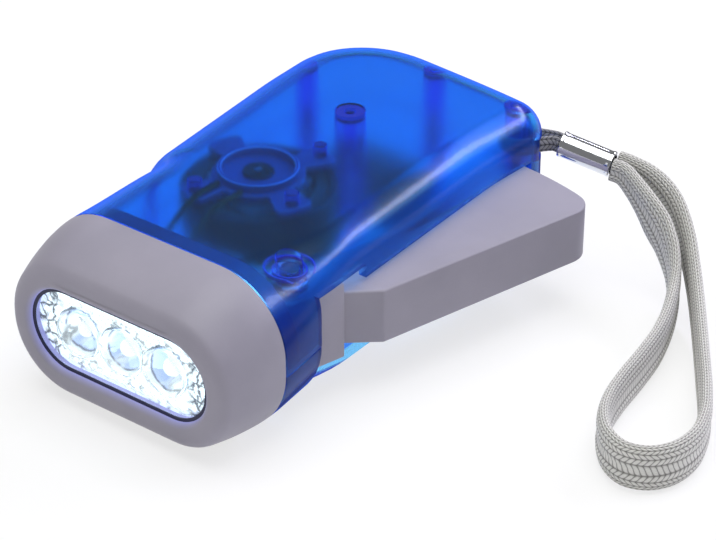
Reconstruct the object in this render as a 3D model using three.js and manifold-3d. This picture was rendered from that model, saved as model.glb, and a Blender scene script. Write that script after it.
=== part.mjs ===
// Squeeze-lever dynamo flashlight: a translucent two-part body with a lamp head, a sprung lever that
// drives a flywheel generator through a gear train, and a braided wrist strap.
// Millimetres, +Z up, lamp towards -Y, lever on the +X side, origin in the middle of the flat underside.
import * as THREE from "three";
import { mergeVertices } from "three/addons/utils/BufferGeometryUtils.js";
import Module from "manifold-3d";

const wasm = await Module();
wasm.setup();

// Clearances
const fitGap = 0.3; // between pieces that are seated in or on each other
const pressGap = 0.1; // round a shaft that turns with its wheel
const runGap = 0.25; // round a shaft that turns in its bore
const overrun = 2; // how far a cutting body passes the face it cuts

// Body
const bodyHeight = 32;
const wall = 1.6;
const seamY = -38;
const seamHalfWidth = 26.5;
const rimBlendLength = 22;
const waistInset = 1.3; // from the side at the seam, as is the rear right corner's
const waistX = seamHalfWidth - waistInset;
const waistY = -22;
const rearRightInset = 2.3;
const rearRightX = seamHalfWidth - rearRightInset;
const rearRightY = 44;
const rearRightRadius = 7.2;
const rearMidX = -8;
const rearMidY = 50.3;
const rearMidRadius = 24;
const rearLeftX = -30.6;
const rearLeftRadius = 18.5;
const gripX = -27.1;
const gripY = -12.4;
const gripRadius = 14.5;
const neckX = -25;
const neckY = -17;
const neckRadius = 4;
const outlineStep = 7;
const arcDegreesPerStep = 15;
const filletSteps = 4;

// Heights, levels and upright fillets, of the body's height
const heightShares = {
  splitHeight: 0.46875,
  seamFillet: 0.43125,
  seamFloorFillet: 0.484375,
  leverSideFillet: 0.203125,
  gripSideFillet: 0.38125,
  recessTop: 0.2421875,
  slotTop: 0.771875,
  lipBottom: 0.0875,
  lipTop: 0.85,
  windowCentreHeight: 0.4875,
  windowRadius: 0.2578125,
  hubBottom: 0.2609375,
  hubTop: 0.7390625,
  armBottom: 0.33125,
  armTop: 0.66875,
  sectorBottom: 0.38125,
  sectorTop: 0.4875,
  flywheelBottom: 0.55,
  flywheelTop: 0.8125,
  bridgeBottom: 0.840625,
  ferruleHeight: 0.725,
};
const heightOf = (name) => heightShares[name] * bodyHeight;
const splitHeight = heightOf("splitHeight");
const seamFillet = heightOf("seamFillet");
const seamFloorFillet = heightOf("seamFloorFillet");
const leverSideFillet = heightOf("leverSideFillet");
const gripSideFillet = heightOf("gripSideFillet");

// Lever opening in the right-hand side, and the recess below it
const slotFrontY = -27.4;
const slotRearY = 37;
const slotTop = heightOf("slotTop");
const recessTop = heightOf("recessTop");
const recessX = 17.6;

// Tongue that the bezel slides over
const tongueLength = 2.6;
const tongueInset = 3.4;
const tongueThickness = 1.3;
const tongueRoot = 2.4;

// Screws and their posts
const postShares = [
  [-0.178, 0.388], // of the rear right corner's x, and of the rear edge's y in its middle
  [-0.066, 0.851],
  [0.777, 0.803],
  [-0.95, 0.596],
];
const postRadii = [2.9, 2.2, 2.15, 2.2];
const postFootRadius = 3;
const postFootHeight = 4.6;
const screwShankRadius = 0.95;
const screwHeadRadius = 1.75;
const screwHeadHeight = 1.5;
const screwHeadDepth = 1;
const screwLength = 19;
const screwDriveWidth = 0.5;
const screwDriveShare = 0.6; // half length of the cross in the head, of the head's radius
const screwDriveDepth = 0.6;

// Bezel
const bezelDepth = 14;
const lipHalfWidth = 24.2;
const lipBottom = heightOf("lipBottom");
const lipTop = heightOf("lipTop");
const lipEdgeRadius = 1.6;
const bezelBulgePower = 1.7;
const bezelSteps = 6;
const windowHalfLength = 20;
const windowRadius = heightOf("windowRadius");
const windowCentreHeight = heightOf("windowCentreHeight");
const windowChamfer = 1.1;
const reflectorFlangeRim = 1.3;
const bezelPocketDepth = 4.2;
const bezelPocketInset = 3;

// Optics and board
const lensRecess = 1.3;
const lensThickness = 1;
const lensDomeRadius = 4.7;
const lensDomeHeight = 0.9;
const lensDomeSteps = 4;
const ledPitch = 9.8;
const ledCount = 3;
const ledRadius = 2.4;
const ledFlangeRadius = 2.8;
const ledFlangeThickness = 1;
const ledLength = 5.4;
const ledDomeSteps = 3;
const reflectorDepth = 5.4;
const reflectorFlange = 1.4;
const cupFrontRadius = 4.6;
const boardThickness = 1.2;
const boardRim = 0.8;
const rectifierLength = 5;
const rectifierWidth = 3.4;
const rectifierDepth = 1.6;

// Lever, drawn as if squeezed flush and then swung open about its pin
const pivotInset = 7.9; // of the pin from the side of the body at the seam
const pivotX = seamHalfWidth - pivotInset;
const pivotY = -27.5;
const openDegrees = 15.6;
const hubRadius = 4.6;
const hubBottom = heightOf("hubBottom");
const hubTop = heightOf("hubTop");
const hubFaceX = 3.6;
const hubLength = 9.3;
const armBottom = heightOf("armBottom");
const armTop = heightOf("armTop");
const armFaceX = 6.8;
const armShoulderX = 2.9;
const armShoulderY = 9.6;
const armFrontY = 15.4;
const armReach = 64.2;
const armCornerRadius = 4.6;
const armInnerX = -5.2;
const armFlareY = 33;
const armTailX = -13;
const pinRadius = 1.5;
const pinBossRadius = 2.4;
const pinSeatDepth = 4;

// Gear train
const gearModule = 0.6;
const sectorTeethPerTurn = 86;
const drivePinionTeeth = 10;
const driveWheelTeeth = 30;
const rotorPinionTeeth = 10;
const addendumShare = 0.72;
const dedendumShare = 1;
const toothThicknessShare = 0.35;
const pressureDegrees = 20;
const meshGap = 0.12;
const sectorBottom = heightOf("sectorBottom");
const sectorTop = heightOf("sectorTop");
const sectorHubRadius = 3.6;
const sectorSpareDegrees = 4;
const sectorTongueDegrees = -6;
const driveWheelGap = 0.4; // over the boss of its axle
const driveWheelThickness = 2.6;
const clutchThickness = 1.2;
const clutchRadius = 4.6;
const clutchDogCount = 4;
const clutchDogLength = 1.3;
const drivePinionShankRadius = 2.1;
const gearAxleRadius = 1;
const axleBossRadius = 2.6;
const axleBossHeight = 1.4;
const driveWheelBottom = wall + axleBossHeight + driveWheelGap;
const axleSeatDepth = 0.9;
const clipRadius = 2.1;
const clipThickness = 0.5;

// Generator
const rotorX = -5.6;
const rotorY = -6;
const shaftRadius = 0.75;
const flywheelRadius = 14.4;
const flywheelBottom = heightOf("flywheelBottom");
const flywheelTop = heightOf("flywheelTop");
const flywheelFloor = 1.4;
const flywheelRim = 1.5;
const flywheelHubRadius = 2.2;
const flywheelHubRise = 0.7;
const magnetThickness = 2.2;
const airGap = 0.7;
const yokeThickness = 0.6;
const yokeBore = 2.8;
const yokeToothCount = 6;
const yokeToothDegrees = 17;
const bobbinWall = 0.7;
const bobbinCore = 1;
const coilThickness = 3.6;

// Bridge that carries the stator and the top bush
const bridgeBottom = heightOf("bridgeBottom");
const bridgeThickness = 1.2;
const bridgeRadius = 8.6;
const bridgeRingRadius = 7.5;
const bridgeRingWall = 0.8;
const bridgeRingHeight = 1.6;
const bridgeLobeReach = 15.2;
const bridgeLobeCount = 4;
const bridgeLobeDegrees = 30;
const bridgeTurnDegrees = -23;
const bridgePegRadius = 1.3;
const bridgePegPlaceShare = 0.84;
const bushRadius = 2.7;
const bushFlange = 0.5;

// Return spring over the lever hub
const springWireRadius = 0.35;
const springTurnCount = 2;
const springPitch = 1.15;
const springLegLength = 7;
const springStepsPerTurn = 8;
const springSides = 5;
const springLegSteps = 4;

// Cells, cradle and wires
const cellRadius = 5.8;
const cellThickness = 5.4;
const cellCount = 3;
const cellGap = 0.2;
const cellPostGap = 2.8; // from the foot of the post at their left
const cellStepRadius = 4.9;
const cellStep = 0.5;
const cradleWall = 1.2;
const cradleHeight = 5;
const wireRadius = 0.55;
const wireSides = 6;
const coilLeadSteps = 14;
const cellLeadSteps = 26;
const leadPitch = 2.8; // between the two cell leads
const leadHeight = 6.2; // of their run along the grip's side
const leadRunShare = 0.66; // of the way out to the grip's side
const leadCradleGap = 2; // from the front of the cradle
const leadBend = 1.65;

// Strap, ferrule and anchor
const strapHalfWidth = 4.5;
const strapHalfThickness = 1.35;
const strapSteps = 66;
const strapFloorGap = 0.4;
const ferruleRadius = 2.5;
const ferruleBore = 1.9;
const ferruleBead = 0.35;
const ferruleBeadLength = 0.7;
const ferruleLength = 10.6;
const ferruleOutset = 2.3; // of its inner end from the body's rear right corner
const ferruleX = rearRightX + ferruleOutset;
const ferruleY = 45;
const ferruleHeight = heightOf("ferruleHeight");
const ferruleYawDegrees = 12;
const ferruleDropDegrees = 11;
const anchorHalfHeight = 1.7;
const anchorRise = 0.2; // of the braid at its post over the ferrule
const anchorHalfThickness = 0.5;
const anchorEndSpread = 1;
const anchorSteps = 26;
const anchorWrapSteps = 8;
const strapWindowWidth = 6.8;
const strapWindowHeight = 4.4;

// Worked out from the sizes above
const lipY = seamY - bezelDepth;
const openAngle = THREE.MathUtils.degToRad(openDegrees);
const posts = postShares.map(([sx, sy], i) => ({
  x: sx * rearRightX,
  y: sy * rearMidY,
  radius: postRadii[i],
}));
const strapPost = posts[2];
const sectorRadius = (sectorTeethPerTurn * gearModule) / 2;
const drivePinionRadius = (drivePinionTeeth * gearModule) / 2;
const driveWheelRadius = (driveWheelTeeth * gearModule) / 2;
const rotorPinionRadius = (rotorPinionTeeth * gearModule) / 2;
const drive = driveCentre();

// The drive wheel's axis lies where both of its meshes are at their centre distance.
function driveCentre() {
  const toLever = sectorRadius + drivePinionRadius + meshGap;
  const toRotor = driveWheelRadius + rotorPinionRadius + meshGap;
  const line = new THREE.Vector2(rotorX - pivotX, rotorY - pivotY);
  const span = line.length();
  const along = (toLever ** 2 - toRotor ** 2 + span ** 2) / (2 * span);
  const aside = Math.sqrt(toLever ** 2 - along ** 2);
  line.normalize();
  return {
    x: pivotX + along * line.x + aside * line.y,
    y: pivotY + along * line.y - aside * line.x,
  };
}

// Finishes
const finish = (color, roughness, metalness = 0, opacity = 1) =>
  new THREE.MeshStandardMaterial({
    color,
    roughness,
    metalness,
    opacity,
    transparent: opacity < 1,
  });
const blueClear = finish(0x0b46e0, 0.12, 0, 0.75);
const greyPlastic = finish(0xa39fa8, 0.55);
const clearPlastic = finish(0xeef6ff, 0.05, 0, 0.3);
const brightMetal = finish(0xdfe5ee, 0.12, 1);
const steel = finish(0x9aa0a8, 0.35, 1);
const darkPlastic = finish(0x17203f, 0.5);
const whitePlastic = finish(0xd9dce2, 0.5);
const copper = finish(0xa8571f, 0.35, 1);
const magnet = finish(0x2b2b30, 0.7, 0.2);
const brass = finish(0xb08d3c, 0.35, 1);
const boardGreen = finish(0x0f4a32, 0.6);
const braid = finish(0xd0d2d0, 0.9);

// Shapes
function solid(geometry) {
  const bare = geometry.index ? geometry.toNonIndexed() : geometry.clone();
  bare.deleteAttribute("normal");
  bare.deleteAttribute("uv");
  const merged = mergeVertices(bare, 1e-4);
  const triVerts = [];
  for (let i = 0; i < merged.index.count; i += 3) {
    const [a, b, c] = merged.index.array.slice(i, i + 3);
    if (a !== b && b !== c && c !== a) triVerts.push(a, b, c);
  }
  const vertProperties = merged.attributes.position.array;
  return new wasm.Manifold(
    new wasm.Mesh({ numProp: 3, vertProperties, triVerts: new Uint32Array(triVerts) }),
  );
}

function geometryOf(shape) {
  const { vertProperties, triVerts } = shape.getMesh();
  const geometry = new THREE.BufferGeometry();
  geometry.setAttribute("position", new THREE.BufferAttribute(vertProperties, 3));
  geometry.setIndex(new THREE.BufferAttribute(triVerts, 1));
  const faceted = geometry.toNonIndexed();
  faceted.computeVertexNormals();
  return faceted;
}

function piece(name, shape, material) {
  const geometry = shape.isBufferGeometry ? shape : geometryOf(shape);
  const mesh = new THREE.Mesh(geometry, material);
  mesh.name = name;
  return mesh;
}

const block = (x0, x1, y0, y1, z0, z1) =>
  solid(
    new THREE.BoxGeometry(x1 - x0, y1 - y0, z1 - z0).translate(
      (x0 + x1) / 2,
      (y0 + y1) / 2,
      (z0 + z1) / 2,
    ),
  );

// An upright cylinder.
const disc = (x, y, radius, z0, z1, sides = 16) =>
  solid(
    new THREE.CylinderGeometry(radius, radius, z1 - z0, sides)
      .rotateX(Math.PI / 2)
      .translate(x, y, (z0 + z1) / 2),
  );

// A round part about the Z axis from its closed profile of [radius, height] points.
const turned = (profile, sides = 28) =>
  solid(
    new THREE.LatheGeometry(
      profile.map(([r, z]) => new THREE.Vector2(r, z)),
      sides,
    ).rotateX(Math.PI / 2),
  );

const ring = (inner, outer, z0, z1, sides) =>
  turned([[inner, z0], [outer, z0], [outer, z1], [inner, z1], [inner, z0]], sides);

// A flat shape with its thickness along Z.
function plate(points, z0, z1) {
  const shape = new THREE.Shape(points.map(([x, y]) => new THREE.Vector2(x, y)));
  const depth = z1 - z0;
  return solid(
    new THREE.ExtrudeGeometry(shape, { depth, bevelEnabled: false }).translate(0, 0, z0),
  );
}

const joined = (shapes) => shapes.reduce((sum, next) => sum.add(next));

const polar = (radius, angle) => [radius * Math.cos(angle), radius * Math.sin(angle)];

// A flat shape drawn as [x, height] points, with its thickness along Y.
function across(points, y0, y1) {
  const shape = new THREE.Shape(points.map(([x, z]) => new THREE.Vector2(x, z)));
  const geometry = new THREE.ExtrudeGeometry(shape, { depth: y1 - y0, bevelEnabled: false });
  return solid(geometry.rotateX(Math.PI / 2).translate(0, y1, 0));
}

// A round bar along a smooth line through points, with straight cut ends.
function bar(points, radius, sides, steps) {
  const section = new THREE.Shape(
    Array.from({ length: sides }, (_, i) => {
      const [x, y] = polar(radius, (i * 2 * Math.PI) / sides);
      return new THREE.Vector2(x, y);
    }),
  );
  const places = points.map((p) => new THREE.Vector3(...p));
  const extrudePath = new THREE.CatmullRomCurve3(places, false, "centripetal");
  return solid(new THREE.ExtrudeGeometry(section, { steps, extrudePath, bevelEnabled: false }));
}

// A closed outline with rounded corners from [x, y, radius] corners given anticlockwise.
function roundedOutline(corners) {
  const points = [];
  const count = corners.length;
  corners.forEach(([x, y, radius], i) => {
    const [px, py] = corners[(i + count - 1) % count];
    const [nx, ny] = corners[(i + 1) % count];
    const before = new THREE.Vector2(x - px, y - py).normalize();
    const after = new THREE.Vector2(nx - x, ny - y).normalize();
    const turn = Math.atan2(before.cross(after), before.dot(after));
    if (!radius || !turn) {
      points.push([x, y]);
      return;
    }
    const side = Math.sign(turn);
    const reach = radius * Math.tan(Math.abs(turn) / 2);
    const centreX = x - before.x * reach - before.y * radius * side;
    const centreY = y - before.y * reach + before.x * radius * side;
    const start = Math.atan2(-before.x * side, before.y * side);
    const degrees = Math.abs(THREE.MathUtils.radToDeg(turn));
    const steps = Math.max(1, Math.round(degrees / arcDegreesPerStep));
    for (let k = 0; k <= steps; k++) {
      const [dx, dy] = polar(radius, start + (turn * k) / steps);
      points.push([centreX + dx, centreY + dy]);
    }
  });
  return points;
}

// The same outline with its long straight runs divided, but for the run that closes it.
function divided(points, step) {
  return points.flatMap(([x, y], i) => {
    const [nx, ny] = points[(i + 1) % points.length];
    const isLast = i + 1 === points.length;
    const parts = isLast ? 1 : Math.max(1, Math.round(Math.hypot(nx - x, ny - y) / step));
    return Array.from({ length: parts }, (_, k) => [
      x + ((nx - x) * k) / parts,
      y + ((ny - y) * k) / parts,
    ]);
  });
}

// For each point of an outline, the vector that moves it inwards by one unit of wall.
function inwards(points) {
  const count = points.length;
  return points.map(([x, y], i) => {
    const [px, py] = points[(i + count - 1) % count];
    const [nx, ny] = points[(i + 1) % count];
    const before = new THREE.Vector2(x - px, y - py).normalize();
    const after = new THREE.Vector2(nx - x, ny - y).normalize();
    const middle = before.clone().add(after).normalize();
    const lengthen = 1 / middle.dot(before);
    return [-middle.y * lengthen, middle.x * lengthen];
  });
}

// Closed skin over rings of points: side faces between the rings, and a flat face at each end.
function skinned(rings) {
  const count = rings[0].length;
  const positions = rings.flat(2);
  const index = [];
  for (let r = 0; r + 1 < rings.length; r++)
    for (let i = 0; i < count; i++) {
      const a = r * count + i;
      const b = r * count + ((i + 1) % count);
      index.push(a, b, b + count, a, b + count, a + count);
    }
  const endFace = (points, first, turnedOver) => {
    const centre = positions.length / 3;
    const mean = (axis) => points.reduce((sum, p) => sum + p[axis], 0) / count;
    positions.push(mean(0), mean(1), points[0][2]);
    for (let i = 0; i < count; i++) {
      const edge = [first + i, first + ((i + 1) % count)];
      index.push(centre, ...(turnedOver ? edge.reverse() : edge));
    }
  };
  endFace(rings[0], 0, true);
  endFace(rings[rings.length - 1], (rings.length - 1) * count, false);
  const geometry = new THREE.BufferGeometry();
  geometry.setAttribute("position", new THREE.Float32BufferAttribute(positions, 3));
  geometry.setIndex(index);
  return geometry;
}

// Outline of a stadium about [0, centre], with its straight sides along X.
function stadium(halfLength, radius, centre, steps = 12) {
  const right = Array.from({ length: steps + 1 }, (_, k) => {
    const [dx, dy] = polar(radius, -Math.PI / 2 + (Math.PI * k) / steps);
    return [halfLength - radius + dx, centre + dy];
  });
  return [...right, ...right.map(([x, y]) => [-x, 2 * centre - y])];
}

// Body outline from above, and the fillet of its rims: full at the lamp, then fuller on the grip's side
const bodyOutline = divided(
  roundedOutline([
    [seamHalfWidth, seamY, 0],
    [seamHalfWidth, seamY + wall, 0],
    [waistX, waistY, 0],
    [rearRightX, rearRightY, rearRightRadius],
    [rearMidX, rearMidY, rearMidRadius],
    [rearLeftX, rearMidY, rearLeftRadius],
    [gripX, gripY, gripRadius],
    [neckX, neckY, neckRadius],
    [-seamHalfWidth, seamY + wall, 0],
    [-seamHalfWidth, seamY, 0],
  ]),
  outlineStep,
);
const bodyInwards = inwards(bodyOutline);
const lastPoint = bodyOutline.length - 1;
bodyInwards[0] = [-1, 0];
bodyInwards[lastPoint] = [1, 0];

function filletRadius(x, y, isTop) {
  const sideShare = THREE.MathUtils.smoothstep(-x, -rearRightX, -gripX);
  const rear = THREE.MathUtils.lerp(leverSideFillet, gripSideFillet, sideShare);
  const front = isTop ? seamFillet : seamFloorFillet;
  const start = isTop ? seamY : slotFrontY;
  return THREE.MathUtils.lerp(front, rear, THREE.MathUtils.smoothstep(y, start, start + rimBlendLength));
}

// The body as one solid, taken in by a wall thickness, and reaching past the seam where it is to cut.
function bodySkin(inset, pastSeam) {
  const ringAt = (turn, isTop) =>
    bodyOutline.map(([x, y], i) => {
      const radius = filletRadius(x, y, isTop) - inset;
      const shift = inset + radius * (1 - Math.sin(turn));
      const rise = inset + radius * (1 - Math.cos(turn));
      const [dx, dy] = bodyInwards[i];
      const ahead = i === 0 || i === lastPoint ? pastSeam : 0;
      return [x + dx * shift, y + dy * shift - ahead, isTop ? bodyHeight - rise : rise];
    });
  const turns = Array.from({ length: filletSteps + 1 }, (_, k) => ((k / filletSteps) * Math.PI) / 2);
  const lower = turns.map((turn) => ringAt(turn, false));
  const upper = turns.map((turn) => ringAt(turn, true)).reverse();
  return skinned([...lower, ...upper]);
}

const bodySolid = (inset, pastSeam) => solid(bodySkin(inset, pastSeam));

const bodyOuter = bodySolid(0, 0);
const bodyInner = bodySolid(wall, overrun);
const postSpace = bodySolid(wall / 2, 0);
const spanX = 2 * seamHalfWidth;
const spanY = 2 * rearMidY;

// Section of the body at the seam, taken in by an inset, as [x, height] points.
function seamSection(inset) {
  const x = seamHalfWidth - inset;
  return roundedOutline([
    [-x, inset, seamFloorFillet - inset],
    [x, inset, seamFloorFillet - inset],
    [x, bodyHeight - inset, seamFillet - inset],
    [-x, bodyHeight - inset, seamFillet - inset],
  ]);
}

// Both halves of the body start as this skin between two heights, with the bezel's tongue.
function shellBlank(z0, z1) {
  const zone = block(-spanX, spanX, seamY - 2 * tongueLength, spanY, z0, z1);
  const skin = bodyOuter.subtract(bodyInner).intersect(zone);
  const bore = across(seamSection(tongueInset + tongueThickness), seamY - spanX, seamY + spanX);
  const web = across(seamSection(wall / 2), seamY + pressGap, seamY + tongueRoot);
  const tongue = across(seamSection(tongueInset), seamY - tongueLength, seamY + tongueRoot);
  return skin.add(web.add(tongue).subtract(bore).intersect(zone));
}

const leverSlot = block(recessX, spanX, slotFrontY, slotRearY, -overrun, slotTop);
const hubSpace = disc(pivotX, pivotY, hubRadius + fitGap, hubBottom - fitGap, hubTop + fitGap, 24);

function upperShell() {
  const bottom = splitHeight + fitGap / 2;
  const bossBottom = hubTop + fitGap;
  const columns = posts.map((p) => disc(p.x, p.y, p.radius, bottom, bodyHeight));
  const pinBoss = disc(pivotX, pivotY, pinBossRadius, bossBottom, bodyHeight);
  const pilotTop = screwHeadDepth + screwLength + fitGap;
  const pilots = posts.map((p) =>
    disc(p.x, p.y, screwShankRadius + pressGap, bottom - overrun, pilotTop, 12),
  );
  const pinSeat = disc(
    pivotX,
    pivotY,
    pinRadius + pressGap,
    bossBottom - overrun,
    hubTop + pinSeatDepth + fitGap,
  );
  return shellBlank(bottom, 2 * bodyHeight)
    .subtract(joined([leverSlot, hubSpace, strapWindow()]))
    .add(joined([...columns, pinBoss]).intersect(postSpace))
    .subtract(joined([...pilots, pinSeat]));
}

function lowerShell() {
  const top = splitHeight - fitGap / 2;
  const headTop = screwHeadDepth + screwHeadHeight + fitGap;
  const [wallX, wallFrontY, wallRearY] = [recessX - wall, slotFrontY - wall, slotRearY + wall];
  const wallSpace = block(wallX, spanX, wallFrontY, wallRearY, -overrun, recessTop);
  const columns = posts.flatMap((p) => [
    disc(p.x, p.y, p.radius, 0, top),
    disc(p.x, p.y, postFootRadius, 0, postFootHeight),
  ]);
  const pinBoss = disc(pivotX, pivotY, pinBossRadius, 0, hubBottom - fitGap);
  const axleBosses = [[rotorX, rotorY], [drive.x, drive.y]].map(([x, y]) =>
    disc(x, y, axleBossRadius, 0, wall + axleBossHeight),
  );
  const screwHoles = posts.flatMap((p) => [
    disc(p.x, p.y, screwShankRadius + runGap, -overrun, top + overrun, 12),
    disc(p.x, p.y, screwHeadRadius + runGap, -overrun, headTop, 16),
  ]);
  const pinSeat = disc(
    pivotX,
    pivotY,
    pinRadius + pressGap,
    hubBottom - pinSeatDepth - fitGap,
    hubBottom + overrun,
  );
  const shaftSeat = disc(rotorX, rotorY, shaftRadius + runGap, axleSeatDepth, splitHeight, 12);
  const axleSeat = disc(drive.x, drive.y, gearAxleRadius + pressGap, axleSeatDepth, splitHeight, 12);
  return shellBlank(-bodyHeight, top)
    .add(wallSpace.intersect(bodyOuter))
    .subtract(leverSlot.add(hubSpace))
    .add(joined([...columns, pinBoss, ...axleBosses]).intersect(postSpace))
    .subtract(joined([...screwHoles, pinSeat, shaftSeat, axleSeat]));
}

// The way out of the rear right corner for the strap, from its post towards the ferrule.
function strapWindow() {
  const dx = ferruleX - strapPost.x;
  const dy = ferruleY - strapPost.y;
  const reach = Math.hypot(dx, dy);
  return solid(
    new THREE.BoxGeometry(reach, strapWindowWidth, strapWindowHeight)
      .translate(reach / 2, 0, ferruleHeight + anchorRise)
      .rotateZ(Math.atan2(dy, dx))
      .translate(strapPost.x, strapPost.y, 0),
  );
}

function screw(p) {
  const headTop = screwHeadDepth + screwHeadHeight;
  const head = disc(p.x, p.y, screwHeadRadius, screwHeadDepth, headTop, 16);
  const shank = disc(p.x, p.y, screwShankRadius, screwHeadDepth, screwHeadDepth + screwLength, 12);
  const half = screwHeadRadius * screwDriveShare;
  const w = screwDriveWidth / 2;
  const drives = [[half, w], [w, half]].map(([a, b]) =>
    block(p.x - a, p.x + a, p.y - b, p.y + b, screwHeadDepth - overrun, screwHeadDepth + screwDriveDepth),
  );
  return head.add(shank).subtract(joined(drives));
}

// Bezel: a domed rounded rectangle from the seam to the lip, with the window through it
function bezelSection(depth, inset) {
  const bulge = (depth / bezelDepth) ** bezelBulgePower;
  const mix = (seam, lip) => THREE.MathUtils.lerp(seam, lip, bulge);
  const x = mix(seamHalfWidth, lipHalfWidth) - inset;
  const bottom = mix(0, lipBottom) + inset;
  const top = mix(bodyHeight, lipTop) - inset;
  const lipFillet = (lipTop - lipBottom) / 2 - fitGap;
  const low = mix(seamFloorFillet, lipFillet) - inset;
  const high = mix(seamFillet, lipFillet) - inset;
  return roundedOutline([[-x, bottom, low], [x, bottom, low], [x, top, high], [-x, top, high]]);
}

function bezel() {
  const straight = bezelDepth - lipEdgeRadius;
  const depths = Array.from({ length: bezelSteps + 1 }, (_, k) =>
    THREE.MathUtils.lerp(fitGap, straight, k / bezelSteps),
  );
  const edgeTurns = [1, 2, 3].map((k) => (k * Math.PI) / 6);
  const rings = [
    ...depths.map((depth) => bezelSection(depth, 0).map(([x, z]) => [x, z, depth - seamY])),
    ...edgeTurns.map((turn) => {
      const depth = straight + lipEdgeRadius * Math.sin(turn);
      const inset = lipEdgeRadius * (1 - Math.cos(turn));
      return bezelSection(depth, inset).map(([x, z]) => [x, z, depth - seamY]);
    }),
  ];
  const shoulder = optics.reflectorBack - reflectorFlange - fitGap;
  const pocket = stadium(
    windowHalfLength + reflectorFlangeRim + fitGap,
    windowRadius + reflectorFlangeRim + fitGap,
    windowCentreHeight,
  );
  const flare = [0, 1].map((k) =>
    stadium(windowHalfLength + k * windowChamfer, windowRadius + k * windowChamfer, windowCentreHeight).map(
      ([x, z]) => [x, z, -lipY - (1 - k) * windowChamfer],
    ),
  );
  const mouth = stadium(windowHalfLength + windowChamfer, windowRadius + windowChamfer, windowCentreHeight);
  return solid(skinned(rings).rotateX(Math.PI / 2))
    .subtract(across(stadium(windowHalfLength, windowRadius, windowCentreHeight), lipY - overrun, seamY))
    .subtract(solid(skinned(flare).rotateX(Math.PI / 2)))
    .subtract(across(mouth, lipY - overrun, lipY))
    .subtract(across(pocket, shoulder, seamY))
    .subtract(across(seamSection(bezelPocketInset), seamY - bezelPocketDepth, seamY + overrun));
}

// Lens, reflector, light-emitting diodes and board, stacked back from the lip
const optics = stackOptics();

function stackOptics() {
  const lensFront = lipY + lensRecess;
  const lensBack = lensFront + lensThickness;
  const reflectorFront = lensBack + fitGap;
  const reflectorBack = reflectorFront + reflectorDepth;
  const ledBase = reflectorBack + fitGap;
  const boardFront = ledBase + ledFlangeThickness + pressGap;
  return {
    lensFront,
    lensBack,
    reflectorFront,
    reflectorBack,
    ledBase,
    boardFront,
    boardBack: boardFront + boardThickness,
  };
}

const ledPlaces = Array.from({ length: ledCount }, (_, i) => (i - (ledCount - 1) / 2) * ledPitch);

// A round part about a line along Y through [x, window centre], from its [radius, y] profile.
function facing(profile, x, sides = 24) {
  const points = profile.map(([r, y]) => new THREE.Vector2(r, y));
  const geometry = new THREE.LatheGeometry(points, sides);
  return solid(geometry.translate(x, 0, windowCentreHeight));
}

const windowFit = stadium(windowHalfLength - fitGap, windowRadius - fitGap, windowCentreHeight);

function lensCover() {
  const { lensFront, lensBack } = optics;
  const dome = Array.from({ length: lensDomeSteps + 1 }, (_, k) => {
    const turn = ((k / lensDomeSteps) * Math.PI) / 2;
    return [lensDomeRadius * Math.sin(turn), lensFront - lensDomeHeight * Math.cos(turn)];
  });
  const profile = [...dome, [lensDomeRadius, lensBack], [0, lensBack]];
  return joined([across(windowFit, lensFront, lensBack), ...ledPlaces.map((x) => facing(profile, x))]);
}

function reflector() {
  const { reflectorFront, reflectorBack } = optics;
  const flange = stadium(
    windowHalfLength + reflectorFlangeRim,
    windowRadius + reflectorFlangeRim,
    windowCentreHeight,
  );
  const throat = ledRadius + runGap;
  const cup = [
    [0, reflectorFront - overrun],
    [cupFrontRadius, reflectorFront - overrun],
    [cupFrontRadius, reflectorFront],
    [throat, reflectorBack - reflectorFlange],
    [throat, reflectorBack + overrun],
    [0, reflectorBack + overrun],
  ];
  return across(windowFit, reflectorFront, reflectorBack)
    .add(across(flange, reflectorBack - reflectorFlange, reflectorBack))
    .subtract(joined(ledPlaces.map((x) => facing(cup, x))));
}

function led(x) {
  const { ledBase } = optics;
  const shoulder = ledBase - ledLength + ledRadius;
  const dome = Array.from({ length: ledDomeSteps + 1 }, (_, k) => {
    const turn = ((k / ledDomeSteps) * Math.PI) / 2;
    return [ledRadius * Math.sin(turn), shoulder - ledRadius * Math.cos(turn)];
  });
  const back = ledBase + ledFlangeThickness;
  return facing(
    [...dome, [ledRadius, ledBase], [ledFlangeRadius, ledBase], [ledFlangeRadius, back], [0, back]],
    x,
    16,
  );
}

function ledBoard() {
  const outline = stadium(windowHalfLength - boardRim, windowRadius - boardRim, windowCentreHeight);
  return across(outline, optics.boardFront, optics.boardBack);
}

function rectifier() {
  const y0 = optics.boardBack + pressGap;
  const z = windowCentreHeight;
  return block(
    -rectifierLength / 2,
    rectifierLength / 2,
    y0,
    y0 + rectifierDepth,
    z - rectifierWidth / 2,
    z + rectifierWidth / 2,
  );
}

// Gears: trapezoid teeth with plenty of backlash, one tooth centred on the phase angle
function toothRow(radius, firstAngle, pitchAngle, teeth) {
  const slope = Math.tan(THREE.MathUtils.degToRad(pressureDegrees));
  const addendum = addendumShare * gearModule;
  const dedendum = dedendumShare * gearModule;
  const half = (toothThicknessShare * Math.PI * gearModule) / 2;
  const root = radius - dedendum;
  const tip = radius + addendum;
  const rootHalf = (half + dedendum * slope) / root;
  const tipHalf = (half - addendum * slope) / tip;
  return Array.from({ length: teeth }, (_, i) => {
    const angle = firstAngle + i * pitchAngle;
    return [
      polar(root, angle - rootHalf),
      polar(tip, angle - tipHalf),
      polar(tip, angle + tipHalf),
      polar(root, angle + rootHalf),
    ];
  }).flat();
}

const toothed = (radius, teeth, phase, z0, z1) =>
  plate(toothRow(radius, phase, (2 * Math.PI) / teeth, teeth), z0, z1);

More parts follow.
